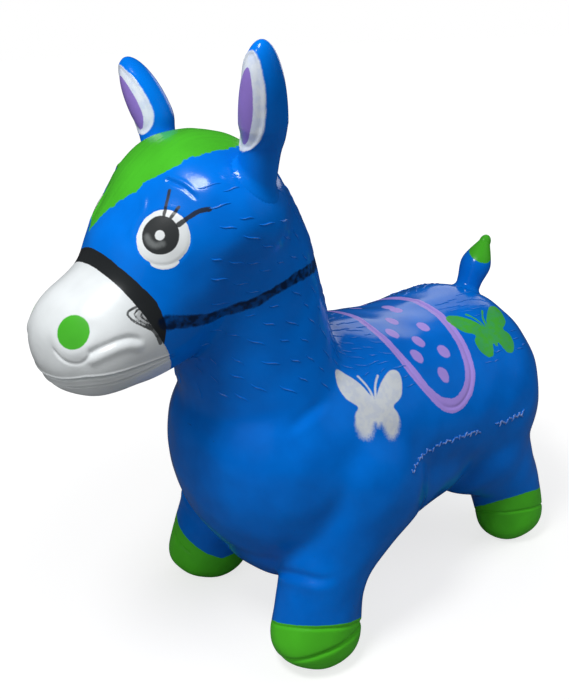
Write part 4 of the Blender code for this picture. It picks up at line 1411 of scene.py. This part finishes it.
def studio_world():
    """World that lights softly, shows white to the camera and a little light to gloss."""
    world = bpy.data.worlds.new("studio")
    world.use_nodes = True
    tree = world.node_tree
    path = add(tree, "ShaderNodeLightPath").outputs
    gloss = add(tree, "ShaderNodeMix", {MIX_FACTOR: path["Is Glossy Ray"], FLOAT_A: WORLD_LIGHT,
                                        FLOAT_B: WORLD_GLOSS}, data_type="FLOAT")
    level = add(tree, "ShaderNodeMix", {MIX_FACTOR: path["Is Camera Ray"], FLOAT_A: gloss.outputs[0],
                                        FLOAT_B: 1.0}, data_type="FLOAT")
    feed(tree, tree.nodes["Background"], {"Color": WHITE, "Strength": level.outputs[0]})
    return world


class HORSE_OT_stage(bpy.types.Operator):
    """Set the camera, the soft lamps and the pale floor"""

    bl_idname = "horse.stage"
    bl_label = "Stage"

    def execute(self, context):
        scene = context.scene
        right, up, back = camera_axes()
        target = CAMERA_TARGET + Vector(SHIFT)
        camera = object_of(bpy.data.cameras.new("photo_camera"))
        camera.data.sensor_width = SENSOR
        camera.data.lens = FOCAL_PIXELS * SENSOR / IMAGE_HEIGHT
        turn = Matrix((right, up, back)).transposed().to_4x4()
        camera.matrix_world = Matrix.Translation(target + back * CAMERA_DISTANCE) @ turn
        scene.camera = camera
        for lamp in LAMPS:
            light = bpy.data.lights.new(lamp.name, "AREA")
            light.energy = lamp.watts
            light.shape = "DISK"
            light.size = lamp.size
            made = object_of(light)
            place = target + right * lamp.right + up * lamp.up + back * lamp.back
            made.matrix_world = (Matrix.Translation(place)
                                 @ (place - target).to_track_quat("Z", "Y").to_matrix().to_4x4())
            made.visible_glossy = lamp.shows
        turns = np.linspace(0.0, 2 * math.pi, FLOOR_SIDES, endpoint=False)
        rim = np.stack([np.cos(turns), np.sin(turns), np.zeros(FLOOR_SIDES)], -1) * FLOOR_RADIUS
        floor = object_of(mesh_from("floor", rim - (0.0, 0.0, FLOOR_DROP), np.arange(FLOOR_SIDES)[None, :]))
        floor.data.materials.append(pale_floor())
        scene.world = studio_world()
        scene.view_settings.view_transform = "Standard"
        return {"FINISHED"}


class HORSE_PT_panel(bpy.types.Panel):
    """Sidebar panel that lists the horse's pieces, sizes and colours"""

    bl_idname = "HORSE_PT_panel"
    bl_label = "Bouncy horse"
    bl_space_type = "VIEW_3D"
    bl_region_type = "UI"
    bl_category = "Horse"

    def draw(self, context):
        for operator in OPERATORS:
            self.layout.operator(operator.bl_idname)
        for group in (context.scene.horse_sizes, context.scene.horse_colours):
            for name in group.__annotations__:
                self.layout.prop(group, name)


OPERATORS = (HORSE_OT_skin, HORSE_OT_ears, HORSE_OT_tail, HORSE_OT_hair, HORSE_OT_valve, HORSE_OT_stage)
CLASSES = (HorseColours, HorseSizes) + OPERATORS + (HORSE_PT_panel,)


def register():
    """Register the classes and hang the property groups on the scene."""
    for kind in CLASSES:
        bpy.utils.register_class(kind)
    bpy.types.Scene.horse_colours = bpy.props.PointerProperty(type=HorseColours)
    bpy.types.Scene.horse_sizes = bpy.props.PointerProperty(type=HorseSizes)


def unregister():
    """Undo register."""
    del bpy.types.Scene.horse_sizes
    del bpy.types.Scene.horse_colours
    for kind in reversed(CLASSES):
        bpy.utils.unregister_class(kind)


def main():
    """Build every piece in order."""
    register()
    bpy.ops.horse.skin()
    bpy.ops.horse.ears()
    bpy.ops.horse.tail()
    bpy.ops.horse.hair()
    bpy.ops.horse.valve()
    bpy.ops.horse.stage()


if __name__ == "__main__":
    main()
